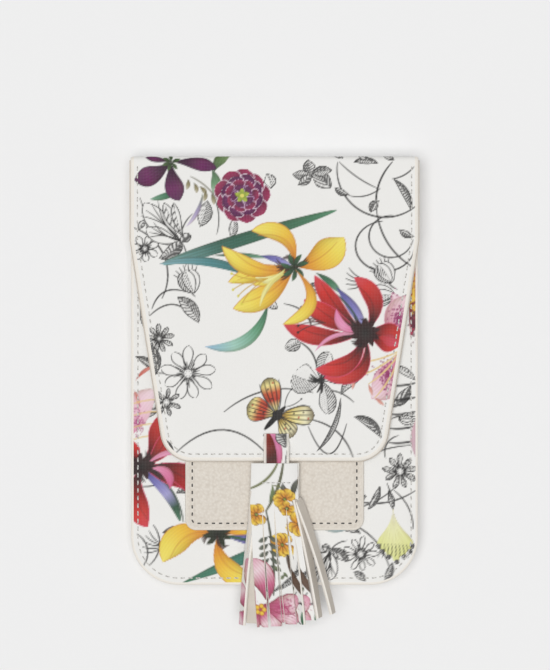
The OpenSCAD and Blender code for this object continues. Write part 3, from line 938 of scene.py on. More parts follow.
def flap_engraving(cloth):
    """Engraved leaves, daisies, buds, an insect and a pansy."""
    sprig(cloth, curve((-56, 72), (-53, 46), 0.06), 4, 5.0, 0.35)
    daisy(cloth, (-54, 51), 6.0, 7, 20, 0)
    insect(cloth, (-35, 57), (-48, 47))
    for tip, wide in (((-46, 70), 2.4), ((-42, 70), 1.9)):
        engraved(cloth, (-38, 56), tip, wide, 0.04, 0.12, 0.62, 0.7, 2.6)
    poppy(cloth, (-35.5, 37.5), 5.6, (-33, 31))
    strokes(cloth, engraved,
        ((-40.5, 31), (-31.5, 20), 3.0, 0.08, 0.62), ((-28, 71), (-31, 60), 3.1, 0.05, 0.45))
    pen(cloth, (-26, 74), (-24, 57), 0.1, 0.42)
    strokes(cloth, engraved,
        ((-17, 64), (-18, 55), 1.9, 0.05, 0.4), ((-3.5, 82), (-1.5, 76), 2.6, 0.1, 0.2))
    for tip, wide in (((23.5, 76), 3.3), ((7.5, 82), 2.2), ((14, 88), 2.6), ((24, 83.5), 2.2),
                      ((9.8, 77.5), 1.9)):
        engraved(cloth, (15.5, 82), tip, wide, 0.06, 0.72)
    for start, tip, wide in (((49.5, 80), (57, 66.5), 1.6), ((58, 56), (52, 59), 1.5),
                             ((60, 88), (59, 72), 2.2), ((31, 73.5), (25, 76.5), 1.4),
                             ((40, 66), (43.5, 71), 1.9), ((33, 87), (43, 86.5), 1.6)):
        engraved(cloth, start, tip, wide, 0.1, 0.78)
    poppy(cloth, (46, 41), 5.2, (51, 34))
    poppy(cloth, (44.5, 31.5), 5.6, (57, 33))
    for fan in range(5):
        pen(cloth, (39, 38), polar((39, 38), 9.5, 148 + 14 * fan), 0.12, 0.42)
    daisy(cloth, (-48, 13.5), 6.4, 9, 12, 0.35, 0.17, 0.16)
    engraved(cloth, (-54, 12), (-50.5, -2.5), 2.6, 0.16, 0.85)
    daisy(cloth, (-36, -1), 11.6, 9, 8, 0, 0.2, 0.17)
    daisy(cloth, (-45, -13), 6.4, 7, 30, 0.5, 0.15, 0.24)
    engraved(cloth, (-48.5, -28), (-42.5, -36.5), 2.0, 0.1, 0.85)
    pansy = (19.5, -4)
    for tip, wide, dark in (((23, 8), 3.4, 0.3), ((31, -3), 3.0, 0.45), ((22, -18), 3.7, 0.35),
                            ((7.6, -1.4), 6.4, 0.2)):
        engraved(cloth, pansy, tip, wide, 0.08, dark, 0.64, 0.6, 1.1)
    for angle in (150, 165, 180, 250, 270, 40, 75):
        pen(cloth, pansy, polar(pansy, 5.2, angle), 0.08, 0.75)
    dot(cloth, pansy, 1.5, "#1C1C1E", strength=0.9)
    strokes(cloth, engraved,
        ((10.4, 12.6), (4.2, 10), 2.7, 0.1, 0.45, 0.45, 0.6),
        ((27.5, -10), (39.5, 0), 2.2, 0.12, 0.55), ((17.5, -33.5), (27.5, -11), 1.1, -0.1, 0.75),
        ((33, -19), (44.5, -28), 2.0, 0.14, 0.88), ((1.5, 26), (-3.5, 30.5), 1.9, 0.06, 0.3))
    pen(cloth, (4, 28), (15, 12), 0.26, 0.55)
    engraved(cloth, (15, 36.5), (22, 30.5), 2.3, 0.06, 0.85)


def purple_spray(cloth, centre):
    """A drooping purple bloom with green at its neck and a sprig beside it."""
    strokes(cloth, petal,
        ((-38, 76), (-52, 71.5), 1.4, GREEN, 0.05),
        ((-25, 83), (-18, 91), 2.4, ["#3E5A38", "#63814F", "#8AA071"], 0.15),
        ((-26, 84), (-25, 72), 2.2, ["#48664A", "#6E9A72", "#B9D0BE"], 0.1))
    for k in range(6):
        root = (-36 + 2.4 * k, 80 - 1.6 * k)
        petal(cloth, root, polar(root, 4.6, -100 + 24 * (k % 3)), 0.9,
              ["#6E6A4C", "#98906E", "#C9C3AC"], 0.1)
    pen(cloth, (-35, 81), (-23, 70), 0.08, 0.6, 0.7, rgb("#6C6850"))
    petal(cloth, (-30, 74), (-37, 60), 0.9, ["#7A8F6C", "#A79BC2", "#D9D0E6"], 0.1)
    for reach, angle, wide, bend in ((17, 206, 4.2, 0.08), (16.5, 282, 4.0, -0.06),
                                     (19, 352, 2.9, 0.05), (11, 168, 1.5, 0.0)):
        tip = polar(centre, reach, angle)
        petal(cloth, centre, tip, wide, PURPLE, bend, 0.66, 0.75, 0.42, "#3B1542")
    heart(cloth, centre, (20, 95, 150, 200, 250, 310), 4, 0.8, ["#26361F", "#4E6B3C"], 0.0)


def yellow_lily(cloth, centre):
    """The middle bloom, its blades of grass and its stem."""
    strokes(cloth, petal,
        ((-46.5, 44.5), (26, 67), 2.7, ["#7FAFB0", "#35695C", "#35694F", "#4F8A68"], 0.0,
         0.4, 0.55, 0.3),
        ((-48, 44.5), (-9, 39.5), 1.9, TEAL, 0.09, 0.55, 0.6, 0.3),
        ((-26, 48), (-2, 47), 1.0, GREEN, 0.03), ((-6, 48), (7, 44), 1.5, LAVENDER, 0.04),
        ((-2.6, 28.6), (-29, 10.2), 2.6, ["#24523F", "#62A07C", "#A3D0C2", "#8FB6D6"], 0.24))
    spray = ((31, 214, 4.8, 0.10), (28.5, 193, 3.4, -0.04), (31.5, 164, 3.7, 0.17),
             (24, 31, 6.4, -0.10), (23.5, 140, 3.7, -0.30), (19, 203, 2.0, 0.05))
    lily(cloth, centre, spray, YELLOW, AMBER)
    strokes(cloth, petal,
        (polar(centre, 4, 190), (-8, 39), 1.6, ["#E9E08A", "#F2EFA0", "#F4F3B8"], 0.22),
        (polar(centre, 4, 218), (-6, 27), 1.0, ["#E6DC78", "#F3F0A6"], -0.14))
    stamens(cloth, (-3, 38.5), 15, 198, "#C9A63A", "#D8CE4A")
    heart(cloth, centre, (15, 60, 110, 165, 215, 260, 305), 6, 1.0, ["#152A1C", "#3B6B46"], 0.1)


def red_lily(cloth, centre):
    """The second bloom, dark at the throat, with pink-edged petals."""
    strokes(cloth, petal,
        ((17, 41), (28, 32), 1.5, GREEN, 0.05), ((25.5, 35), (38, 17), 2.3, LAVENDER, 0.04))
    pen(cloth, (24, 33), (36, 18), 0.08, 0.8, 0.85, rgb("#2F4A3C"))
    spray = ((32, 131, 3.6, 0.06), (29, 151, 4.4, 0.05), (34, 174, 4.0, 0.10),
             (16.5, 346, 6.2, 0.04), (23.7, 101, 3.9, -0.27), (25.3, 227, 2.9, 0.37),
             (25.6, 216, 3.9, 0.24))
    lily(cloth, centre, spray, RED, ROSE, NIGHT)
    strokes(cloth, petal,
        (polar(centre, 6, 346), polar(centre, 15, 340), 2.6, ["#B3211C", "#E0506A"], 0.05),
        (polar(centre, 2, 140), polar(centre, 15.5, 140), 1.9,
         ["#D4598C", "#EC9CC4", "#E57FB2"], 0.28),
        (polar(centre, 3, 196), polar(centre, 22, 200), 0.9, ["#E9A6C6", "#E590B8"], -0.16))
    stamens(cloth, polar(centre, 17, 166), 12, 172, "#5A2A2A", "#2E1C1C")
    heart(cloth, centre, range(12, 372, 36), 6.5, 1.3, HEART, 0.08)


def pale_lily(cloth, centre):
    """A washed pink bloom with speckles at the flap's right side."""
    for reach, angle, wide, bend in ((24, 100, 3.8, -0.1), (22.5, 80, 6.2, 0.16),
                                     (24, 272, 4.6, -0.05), (24, 238, 6.4, 0.1)):
        tip = polar(centre, reach, angle)
        petal(cloth, centre, tip, wide, PINK, bend, 0.6, 0.8, 0.25, "#D99AB2")
    speckle(cloth, polar(centre, 13, 96), (6, 10), 190, "#942F68", 0.4, 3)
    speckle(cloth, polar(centre, 12, 240), (7, 9), 210, "#942F68", 0.4, 4)
    for k in range(4):
        end = polar(centre, 20 + 3 * (k % 2), 196 + 15 * k)
        pen(cloth, centre, end, 0.06, 0.6, 0.85, rgb(CREAM_RAY))
        petal(cloth, end, polar(end, 5, 230 + 30 * k), 0.7, ["#D98A7C", "#E6AFA4"])


def flap_picture(x, s):
    """The flap and the top half of the spine."""
    cloth = blank(x, s)
    loops_and_tendrils(cloth)
    flap_engraving(cloth)
    purple_spray(cloth, (-43, 87))
    rosette(cloth, (-13.5, 73), 11.8)
    pale_lily(cloth, (53, 9))
    yellow_lily(cloth, (8.4, 43.3))
    red_lily(cloth, (37.6, 15.8))
    petal(cloth, (8.8, 42), (3.4, 19.4), 2.7, YELLOW, 0.40, 0.62, 0.85, 0.13, AMBER)
    butterfly(cloth, (1.2, -18.4), 15.4, -42)
    petal(cloth, (-16, 93), (0, 93), 1.5, RED, 0.05)
    sprig(cloth, curve((-50, 97), (-8, 94), 0.05), 7, 6, 0.5)
    sprig(cloth, curve((14, 96), (56, 93), -0.05), 7, 6, 0.6)
    # A dark line along the strap's slit: painted shade of the slit's opening.
    ink(cloth, np.array([(-4.1, -26.7), (5.7, -26.7)]), 1.0, 0.9, rgb("#1C1A1A"), 0)
    return cloth["rgb"]


# %% [markdown]
# ## Laying out the front and the back
# The same blooms are cut by the edges here, as they are when a repeating cloth is cut into
# panels. The back uses the flap's own drawing, mirrored and moved down, as one more piece of
# the same roll.

# %% Front and back print
def front_picture(x, s):
    """What shows beside and below the flap, and what it covers."""
    cloth = blank(x, s)
    pen(cloth, (-40, -38), (-58, -48), 0.2, 0.5)
    strokes(cloth, ink,
        (arc((-60, -72), 12, -50, 40), 0.55), (arc((-62, -76), 9, -40, 60), 0.5))
    strokes(cloth, pen,
        ((19, -62), (49, -85.5), 0.2, 0.55), ((28, -42), (58, -31), 0.08, 0.5),
        ((28, -52), (59, -50), -0.14, 0.6), ((29, -58), (52, -47), -0.1, 0.45),
        ((50, -50), (58, -66), 0.12, 0.5))
    ink(cloth, arc((53, -34), 7, 100, 200), 0.5)
    leaves = (
        ((-56, 27), (-53, 16), 2.4, 0.85), ((-58, 6), (-47, -2), 1.9, 0.85),
        ((-46, -10), (-57, -20), 2.2, 0.6), ((57, -6), (49, -15), 2.4, 0.85),
        ((49, 2), (59, -4), 1.6, 0.3), ((36, -54), (28, -60), 2.6, 0.6),
        ((44, -48), (39, -58), 1.5, 0.85), ((-34, -45), (-41, -51), 2.2, 0.85),
        ((24, -64), (36, -68), 2.0, 0.8), ((49, -80), (46, -88), 1.6, 0.8),
        ((33, -84), (38, -88), 1.6, 0.7), ((50, 45), (56, 35), 1.8, 0.6),
        ((-57, 60), (-52, 48), 1.8, 0.5))
    for start, tip, wide, dark in leaves:
        engraved(cloth, start, tip, wide, 0.08, dark)
    for k in range(5):
        pen(cloth, (48, -6 - 6 * k), (59, -5 - 6 * k), -0.05, 0.8, 0.85)
    poppy(cloth, (55, -20), 3.2, (49, -20))
    daisy(cloth, (52.5, -42), 7.6, 9, 10, 0.45, 0.16, 0.2)
    daisy(cloth, (36, -76.5), 7.6, 9, 0, 0, 0.17, 0.2)
    insect(cloth, (20, -73), (31, -80))
    petal(cloth, (31, -66), (18, -62), 2.2, ["#7FA8B8", "#B8D0DA", "#DCE8EC"], 0.1)
    engraved(cloth, (38.5, -52.5), (28.5, -57.5), 3.2, -0.1, 0.55)
    for k in range(5):
        angle = 196 + 16 * k
        pen(cloth, (-46, -73), polar((-46, -73), 9, angle - 60), 0.1, 0.42)
    bell_flower(cloth, (49.5, -58), (50.5, -76))
    under_flap(cloth)
    speckled_edge(cloth)
    red_side(cloth, (-55.5, -40))
    low_lily(cloth, (-24, -68.5))
    return cloth["rgb"]


def under_flap(cloth):
    """The part that only shows when the flap is up: the same blooms, further apart."""
    strokes(cloth, pen,
        ((-40, 10), (30, 30), 0.2, 0.6), ((36, 84), (-8, 40), 0.24, 0.6))
    sprig(cloth, curve((-44, 80), (-14, 58), 0.1), 8, 7, 0.5)
    sprig(cloth, curve((42, 60), (20, 34), -0.1), 7, 7, 0.4)
    petal(cloth, (-38, 20), (22, 48), 2.6, ["#9CC6C8", "#3F7F70", "#5A9A78"], 0.05, 0.4, 0.55)
    rosette(cloth, (26, 68), 11)
    daisy(cloth, (-20, 74), 10, 9, 5, 0, 0.17, 0.18)
    spray = ((22, 40, 5, 0.1), (24, 100, 4.5, -0.1), (23, 160, 5, 0.1), (20, 215, 4, -0.1),
             (21, 290, 4.6, 0.12))
    lily(cloth, np.array((-8, 28)), spray, YELLOW, AMBER)
    butterfly(cloth, (-34, 40), 12, -24)


def bell_flower(cloth, top, foot):
    """A pale yellow-green bell with a dark frilled hem."""
    pen(cloth, (47, -47), top, 0.05, 0.5)
    engraved(cloth, (47.5, -50), (49.5, -58), 1.3, 0.05, 0.7)
    for k in range(7):
        end = polar(foot, 7.4, 196 + 26 * k)
        end = np.array([end[0], foot[1] - 1 + 2.2 * abs(k - 3) - 3.2])
        petal(cloth, top, end, 1.9, ["#F2F2D2", "#ECEDB4", "#E2E692"], 0.025 * (3 - k), 0.8, 0.6,
              0.14)
        engraved(cloth, end + np.array([0, 1.6]), end - np.array([0, 0.9]), 1.0, 0.0, 0.92)
    for k in range(9):
        low = np.array([foot[0] - 6 + 1.5 * k, foot[1] + 3.5])
        pen(cloth, low, low - np.array([0.3 * (4 - k), 5.5]), 0.05, 0.36, 0.8)


def speckled_edge(cloth):
    """Pale pink speckled petals cut by the left edge, and reds cut by the right one."""
    strokes(cloth, petal,
        ((-62, -28), (-50, -8), 6.0, PINK[1:], 0.1, 0.5, 0.7, 0.1),
        ((-58, -4), (-50, 2), 0.8, ["#C9483C", "#E09A8E"], 0.1),
        ((-59, -8), (-57, -16), 0.7, ["#D9766A", "#E8B4A8"], 0.1))
    speckle(cloth, (-57, -22), (4, 10), 120, "#B04C82", 0.36, 5)
    for k in range(4):
        pen(cloth, (-60, -14 - 5 * k), (-47, -12 - 5 * k), 0.05, 0.5, 0.8, rgb(CREAM_RAY))
    petal(cloth, (61, 52), (57, 14), 3.0, ["#8C1F3A", "#C23B5A", "#7A2A22", "#D04A6A"], 0.02)
    speckle(cloth, (58, 32), (2, 16), 90, "#E8C04A", 0.5, 6)
    speckle(cloth, (58, 20), (2.4, 9), 90, "#5A1430", 0.5, 7)
    petal(cloth, (60, -18), (59, -36), 2.6, ["#DDB8C6", "#CDB0BC"], 0.0)


def red_side(cloth, centre):
    """The red lily again, with only its right half on the cloth."""
    petal(cloth, polar(centre, 3, 300), polar(centre, 28, 305), 2.3, LAVENDER + GREEN[:2], 0.10,
          0.42, 0.6)
    pen(cloth, centre, polar(centre, 29, 307), 0.14, 0.7, 0.85, rgb("#2E4A3C"))
    spray = ((26, 68, 6.4, -0.14), (21, 52, 3.8, -0.1), (33, 2, 5.5, -0.14), (37, 332, 5.6, 0.14),
             (25.5, 276, 5.0, -0.16), (12, 110, 3.0, 0.1))
    lily(cloth, centre, spray, RED, ROSE, NIGHT)
    strokes(cloth, petal,
        (polar(centre, 2, 20), polar(centre, 20, 16), 1.1, ["#E590B8", "#E9A6C6"], 0.14),
        (polar(centre, 4, -10), polar(centre, 15, 322), 2.0, ["#EC9CC4", "#D4598C"], 0.3))
    heart(cloth, centre, range(12, 372, 40), 6.0, 1.2, HEART, 0.08)
    for k in range(5):
        root = polar(centre, 29, 288)
        pen(cloth, root, polar(root, 8, 18 - 18 * k), 0.14, 0.5)


def low_lily(cloth, centre):
    """The yellow lily again, half under the pocket."""
    strokes(cloth, petal,
        ((-40.5, -89.5), (12, -68), 2.6, ["#3E7C5E", "#3F7F70", "#5A9A78"], 0.0),
        (polar(centre, 3, -12), (-2, -73), 2.0, LAVENDER, 0.03))
    pen(cloth, centre, (4, -77), 0.05, 1.1, 0.9, rgb("#2F5A44"))
    spray = ((14, 122, 4.4, 0.1), (22, 16, 3.4, 0.0), (19, 50, 4.4, 0.1), (26, 100, 4.4, 0.1),
             (25.5, 207, 5.6, -0.24), (26, -51, 4.6, -0.22))
    lily(cloth, centre, spray, YELLOW, AMBER)
    heart(cloth, centre, range(-60, 240, 40), 6, 1.1, ["#10160E", "#2E3A20"], 0.08)


def back_picture(x, s):
    """The back: the flap's drawing mirrored, and the front's lower part below it."""
    return np.where((s > -22)[:, None], flap_picture(-x, s + 14), front_picture(-x, s))


# %% [markdown]
# ## Flap, back and front
# The flap and the back are one sheet on the real pouch. It is parted here half way down the
# spine, so that each half bends over just one crease: the back's half bends from the case
# to the spine, and the flap's half from the spine to the flap.

# %% Panels
FLAP_EDGE = 1.5
BODY_EDGE = 1.1
FLAP_T = 1.45
SHEET_T = 0.9
RECESS = 5.0


def edge_gap(rows):
    """Returns gap(x, s): how far a point lies inside the rows' outline, sideways or from
    its lowest row, whichever is nearer."""
    height, half = rows

    def gap(x, s):
        return np.minimum(np.interp(s, height, half) - np.abs(x), s - height[0])

    return gap


def sewn_dip(gap, depth=0.22, wide=0.9):
    """The shallow channel that a tight seam pulls into the cloth, as a bell curve."""
    return depth * np.exp(-(((gap - SEAM) / wide) ** 2))


flap_gap = edge_gap(flap_rows(0, HINGE_Y + 30, 2.0))
front_gap = edge_gap(body_rows(0, PANEL_Y + 30, 2.0))
SLIT_Y = span("tassel_strap")[1][1]
STRAP_X = (span("tassel_strap")[0][0] + span("tassel_strap")[1][0]) / 2
STRAP_HALF = span("tassel_strap")[1][0] - STRAP_X


def in_slit(x, s):
    """1 inside the strap's slit, falling to 0 within a cell of its edge."""
    across = np.clip(1 - np.maximum(np.abs(x - STRAP_X) - STRAP_HALF + 0.3, 0) / CELL, 0, 1)
    return across * np.clip(1.6 - np.abs(s - SLIT_Y - 0.1) / CELL, 0, 1)


def flap_lift(x, s):
    """A soft pillow over what the pouch holds, with two slow waves across it, less the
    seam's channel and the strap's slit."""
    across = np.clip(1 - (x / HALF) ** 2, 0, 1)
    along = np.clip((s - FLAP_LOW) / 20, 0, 1) * np.clip((HINGE_Y - s) / 22, 0, 1)
    wave = 0.10 * np.sin(x / 17 + s / 23) + 0.07 * np.sin(s / 13 - x / 29)
    flat = np.clip((HINGE_Y - s) / 4, 0, 1)
    pulled = sewn_dip(flap_gap(x, s)) * flat + 0.7 * in_slit(x, s)
    return along * across * (0.55 + wave) - pulled


def front_lift(x, s):
    """The front's own slight swell, fading to its edges, less the seam's channel."""
    across = np.clip(1 - (x / HALF) ** 2, 0, 1)
    along = np.clip((s - LOW) / 12, 0, 1) * np.clip((PANEL_Y - s) / 22, 0, 1)
    droop = -0.25 * (1 - across * along) * np.clip((FLAP_LOW - s) / 20, 0, 1)
    return droop - sewn_dip(front_gap(x, s))


def paint(obj, x, s, picture):
    """Colours the face's vertices with picture(x, s), and the rest in cream edge paint."""
    full = np.tile(rgb("#EFE8DC"), (len(obj.data.vertices), 1))
    full[: len(x)] = picture(x, s)
    colour_points(obj, full)


SKIN = [PRINTED, EDGE, GREIGE]
flap_rings = round_edge(FLAP_EDGE, 0.75, FLAP_T, RECESS, SHEET_T)
body_rings = round_edge(BODY_EDGE, 0.8, FLAP_T, RECESS, SHEET_T)
flap_end = HINGE_Y + FOLD_ARC + SPINE_FLAP
back_end = HINGE_Y + FOLD_ARC + SPINE_BACK

flap_skin, flap_x, flap_s = closed_sheet(
    "flap_skin", flap_rows(FLAP_EDGE, flap_end), folded(FLAP_Z, 1, flap_lift),
    2 * HALF / CELL, flap_rings, SKIN,
)
paint(flap_skin, flap_x, flap_s, flap_picture)
back_skin, back_x, back_s = closed_sheet(
    "back_skin", body_rows(BODY_EDGE, back_end, BACK_CELL), folded(0.0, -1),
    2 * HALF / BACK_CELL, body_rings, SKIN, flip=True,
)
paint(back_skin, back_x, back_s, back_picture)
front_skin, front_x, front_s = closed_sheet(
    "front_skin", body_rows(BODY_EDGE, PANEL_Y, FRONT_CELL), folded(FACE_Z, 1, front_lift),
    2 * HALF / FRONT_CELL, body_rings, SKIN,
)
paint(front_skin, front_x, front_s, front_picture)
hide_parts("flap_outer", "spine_cover")
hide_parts("back_panel")
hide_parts("front_panel")
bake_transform(flap_skin)
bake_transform(back_skin)
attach(front_skin, "case")
for piece in (flap_skin, back_skin, front_skin):
    print(piece.name, len(piece.data.polygons), "faces")

# %% [markdown]
# ## Linings
# The pouch is lined with a thin woven cloth. On the flap it reaches a hair past the printed
# skin, so the edge reads as two bonded layers. Like the skins, it is parted half way down
# the spine. A lining's good side faces in, so its fine grid lies underneath.

# %% Linings
LINING_OUT = 0.45
LINING_EDGE = 0.22
LINING_T = 0.42
BACK_LINING_IN = 2.0
FRONT_LINING_IN = 0.3
FLAT_EDGE = 0.2


def lined(face_z, side, deep, lift=None):
    """folded(), turned over: depth 0 is the side away from the skin, deep mm below it."""
    over = folded(face_z, side, lift)
    return lambda x, s, depth: over(x, s, deep - depth)


def flap_swell(x, s):
    """The flap's pillow without its seam channel and slit, for the cloth beneath it."""
    return 0.4 * np.clip(flap_lift(x, s), 0, 1)


LINED = [LINING, EDGE, LINING]
lining_cells = 2 * HALF / LINING_CELL
lining_rings = round_edge(LINING_EDGE, LINING_EDGE, LINING_T)
flap_depth = FLAP_Z - span("flap_lining")[0][2]
flap_lining, *_ = closed_sheet(
    "flap_lining_cloth", flap_rows(LINING_EDGE - LINING_OUT, flap_end, LINING_CELL),
    lined(FLAP_Z, 1, flap_depth, flap_swell), lining_cells, lining_rings, LINED, flip=True,
)
back_depth = span("back_lining")[1][2]
back_lining, *_ = closed_sheet(
    "back_lining_cloth", body_rows(BACK_LINING_IN + FLAT_EDGE, back_end, LINING_CELL),
    lined(0.0, -1, back_depth), lining_cells, lining_rings, LINED,
)
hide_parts("flap_lining", "spine_lining")
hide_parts("back_lining")
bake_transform(flap_lining)
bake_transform(back_lining)


def flat_lining(name, node, rows):
    """A lining that stays flat: it fills the CAD lining's thickness, less a hair."""
    low, high = span(node)
    thick = high[2] - low[2] - 0.04
    width = 2 * rows[1].max()
    rings = round_edge(FLAT_EDGE, FLAT_EDGE, thick)
    place = folded(high[2] - 0.02, 1)
    flat, *_ = closed_sheet(name, rows, place, width / LINING_CELL, rings, LINED)
    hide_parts(node)
    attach(flat, "case")
    return flat


front_rows = body_rows(FRONT_LINING_IN + FLAT_EDGE, PANEL_Y, LINING_CELL)
front_lining = flat_lining("front_lining_cloth", "front_lining", front_rows)
for piece in (flap_lining, back_lining, front_lining):
    print(piece.name, len(piece.data.polygons), "faces")

# %% [markdown]
# ## Gusset
# The gusset is the strip of cloth that gives the pouch its depth. Its two edges turn out and
# are sewn between a panel and its lining, and the wall between them is soft: it bulges out
# a little, and is gathered where it goes round the corners. Its section is one closed line
# that is carried along the body's outline, and the gathers are a sine along the way that
# grows in the corners.

# %% Gusset
GUSSET_LOW, GUSSET_HIGH = span("gusset")
FLANGE_W = 6.0
GUSSET_T = 0.8
GATHER = 3.4


def gusset_section():
    """Insets and heights round the gusset's section: the outer side going up, then the
    inner side coming down."""
    low, high = GUSSET_LOW[2] + 0.03, GUSSET_HIGH[2] - 0.03
    up = np.linspace(0, 1, 15)
    wall = FLANGE_W - GUSSET_T - 0.5 - 1.1 * np.sin(np.pi * up)
    rise = low + GUSSET_T + (high - low - 2 * GUSSET_T) * (0.5 - 0.5 * np.cos(np.pi * up))
    outer = [(0.35, low), (0.12, low + 0.4), (0.35, low + GUSSET_T), (2.4, low + GUSSET_T + 0.05)]
    outer += list(zip(wall, rise))
    outer += [(2.4, high - GUSSET_T - 0.05), (0.35, high - GUSSET_T), (0.12, high - 0.4)]
    back = np.linspace(1, 0, 15)
    inner = [(0.35, high)] + list(
        zip(wall[::-1] + 0.75, low + (high - low) * (0.5 - 0.5 * np.cos(np.pi * back)))
    )
    return np.array(outer + inner)


def gusset_cloth():
    """Sweeps the section along the body's outline, inwards from it."""
    path = seam_path(body_rows(0, PANEL_Y, 0.9))
    tangent = np.gradient(path, axis=0)
    tangent /= np.hypot(*tangent.T)[:, None]
    inward = np.stack([-tangent[:, 1], tangent[:, 0]], 1)
    gone = np.concatenate([[0], np.cumsum(np.hypot(*np.diff(path, axis=0).T))])
    turning = np.clip((LOW + BODY_R + 6 - path[:, 1]) / 8, 0, 1)
    turning *= np.clip((np.abs(path[:, 0]) - HALF + BODY_R + 6) / 8, 0, 1)
    section = gusset_section()
    soft = np.sin(np.pi * (section[:, 1] - GUSSET_LOW[2]) / (GUSSET_HIGH[2] - GUSSET_LOW[2]))
    soft = soft * (section[:, 0] > 3)
    ripple = (0.10 + 0.34 * turning) * np.sin(2 * np.pi * gone / GATHER)
    slow = 0.22 * np.sin(gone / 11.0) * np.sin(gone / 29.0 + 1)
    inset = section[None, :, 0] + soft[None] * (ripple + slow)[:, None]
    xy = path[:, None] + inward[:, None] * inset[..., None]
    z = np.broadcast_to(section[:, 1], inset.shape)
    points = np.concatenate([xy, z[..., None]], -1).reshape(-1, 3)
    rows, size = inset.shape
    index = np.arange(rows * size).reshape(rows, size)
    ahead = np.roll(index, -1, 1)
    quads = np.stack([index[:-1], index[1:], ahead[1:], ahead[:-1]], -1).reshape(-1, 4)
    faces = quads.tolist() + [index[0].tolist(), index[-1, ::-1].tolist()]
    slots = np.tile(np.where(section[:, 0] < 0.4, 1, 0), rows - 1)
    slots = np.concatenate([slots, [1, 1]])
    obj = mesh_object("gusset_cloth", points, faces, slots, [GREIGE, EDGE])
    girth = np.cumsum(np.hypot(*np.diff(section, axis=0, prepend=section[:1]).T))
    grid = np.stack(np.broadcast_arrays(gone[:, None], girth[None]), -1)
    sheet_points(obj, grid.reshape(-1, 2))
    return obj, gone[-1]


gusset, gusset_long = gusset_cloth()
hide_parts("gusset")
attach(gusset, "case")
print(gusset.name, round(gusset_long), "mm long")

# %% [markdown]
# ## Patch pocket
# The pocket is one piece of leather with rounded lower corners and a thin cloth behind it.
# It is stitched down on three sides and open at the top, under the flap.

# %% Patch pocket
POCKET_LOW, POCKET_HIGH = span("patch_pocket")
POCKET_R = 4.5
POCKET_EDGE = 0.8
POCKET_LINING_IN = 0.8
LEATHER_T = 0.98


def pocket_rows(inset, step=CELL):
    """Rows of the pocket: two small quarter circles and straight sides."""
    corner = (POCKET_HIGH[0] - POCKET_R, POCKET_LOW[1] + POCKET_R)
    side = [(POCKET_HIGH[0] - inset, POCKET_HIGH[1])]
    return outline(corner, POCKET_R - inset, 90, side, step)


pocket_gap = edge_gap(pocket_rows(0, 1.0))


def pocket_lift(x, s):
    """Leather swells a little inside its seam and is pulled down along it."""
    gap = pocket_gap(x, s)
    free = np.clip((FLAP_LOW + 2 - s) / 8, 0, 1)
    wave = 0.09 * np.sin(x / 9 + 1) * np.sin(s / 11)
    swell = (0.26 + wave) * free * np.clip((gap - SEAM) / 6, 0, 1)
    return swell - sewn_dip(gap, 0.30, 0.8)


pocket, *_ = closed_sheet(
    "pocket_leather", pocket_rows(POCKET_EDGE, POCKET_CELL),
    folded(POCKET_HIGH[2], 1, pocket_lift), 2 * POCKET_HIGH[0] / POCKET_CELL,
    round_edge(POCKET_EDGE, 0.5, LEATHER_T), [LEATHER, LEATHER_EDGE, GREIGE],
)
inner_rows = pocket_rows(POCKET_LINING_IN + FLAT_EDGE, 1.0)
pocket_lining = flat_lining("pocket_lining_cloth", "pocket_lining", inner_rows)
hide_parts("patch_pocket")
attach(pocket, "case")
print(pocket.name, len(pocket.data.polygons), "faces")

# %% [markdown]
# ## Stitches
# A lockstitch seen from above is a row of short threads, each rising out of one hole and
# diving into the next. One stitch is a half-sunk grain: its radius falls to nothing at its
# ends as the fourth root of 1 - t^4. Every stitch of a seam is worked out at once, by adding
# the grain's points to the places along the seam.

# %% Stitches
def spaced(path, pitch):
    """Places and directions along a line, pitch apart and centred on it."""
    step = np.diff(path, axis=0)
    before = np.concatenate([[0], np.cumsum(np.hypot(*step.T))])
    count = int(before[-1] / pitch)
    at = (before[-1] - count * pitch) / 2 + (np.arange(count) + 0.5) * pitch
    spot = np.stack([np.interp(at, before, path[:, k]) for k in range(2)], 1)
    ahead = np.stack([np.interp(at + 0.5, before, path[:, k]) for k in range(2)], 1)
    back = np.stack([np.interp(at - 0.5, before, path[:, k]) for k in range(2)], 1)
    aim = ahead - back
    return spot, aim / np.hypot(*aim.T)[:, None]


def sewn(name, path, pitch, size, place, thread, flip=False):
    """One object of equal stitches. size is (length, width, height) in millimetres; place
    turns a flat point and its depth into space. A small seeded turn keeps the row alive."""
    spot, aim = spaced(path, pitch)
    rng = np.random.default_rng(len(spot))
    turn = rng.normal(0, 0.035, len(spot))
    aim = np.stack([aim[:, 0] - turn * aim[:, 1], aim[:, 1] + turn * aim[:, 0]], 1)
    side = np.stack([-aim[:, 1], aim[:, 0]], 1)
    t = np.array([-1, -0.82, -0.4, 0.4, 0.82, 1])
    angle = np.arange(6) * np.pi / 3
    radius = np.maximum(1 - t**4, 0.02) ** 0.25
    radius[[0, -1]] = 0.25
    along_it = np.repeat(size[0] / 2 * t, 6)
    across = (size[1] / 2 * radius[:, None] * np.cos(angle)).ravel()
    bow = 0.5 * size[2] * (1 - t**2)
    high = (bow[:, None] + size[2] / 2 * radius[:, None] * np.sin(angle)).ravel()
    flat = spot[:, None] + aim[:, None] * along_it[:, None] + side[:, None] * across[:, None]
    depth = np.broadcast_to(-high, flat.shape[:2])
    points = place(flat[..., 0], flat[..., 1], depth).reshape(-1, 3)
    k = np.arange(6)
    ring = np.stack([k, k + 6, (k + 1) % 6 + 6, (k + 1) % 6], 1)
    one = [(ring + 6 * n).tolist() for n in range(5)]
    one = [face for band in one for face in band] + [list(range(6)), list(range(35, 29, -1))]
    if flip:
        one = [face[::-1] for face in one]
    every = [[i + 36 * n for i in face] for n in range(len(spot)) for face in one]
    obj = mesh_object(name, points, every, np.zeros(len(every)), [thread])
    print(name, len(spot), "stitches")
    return obj


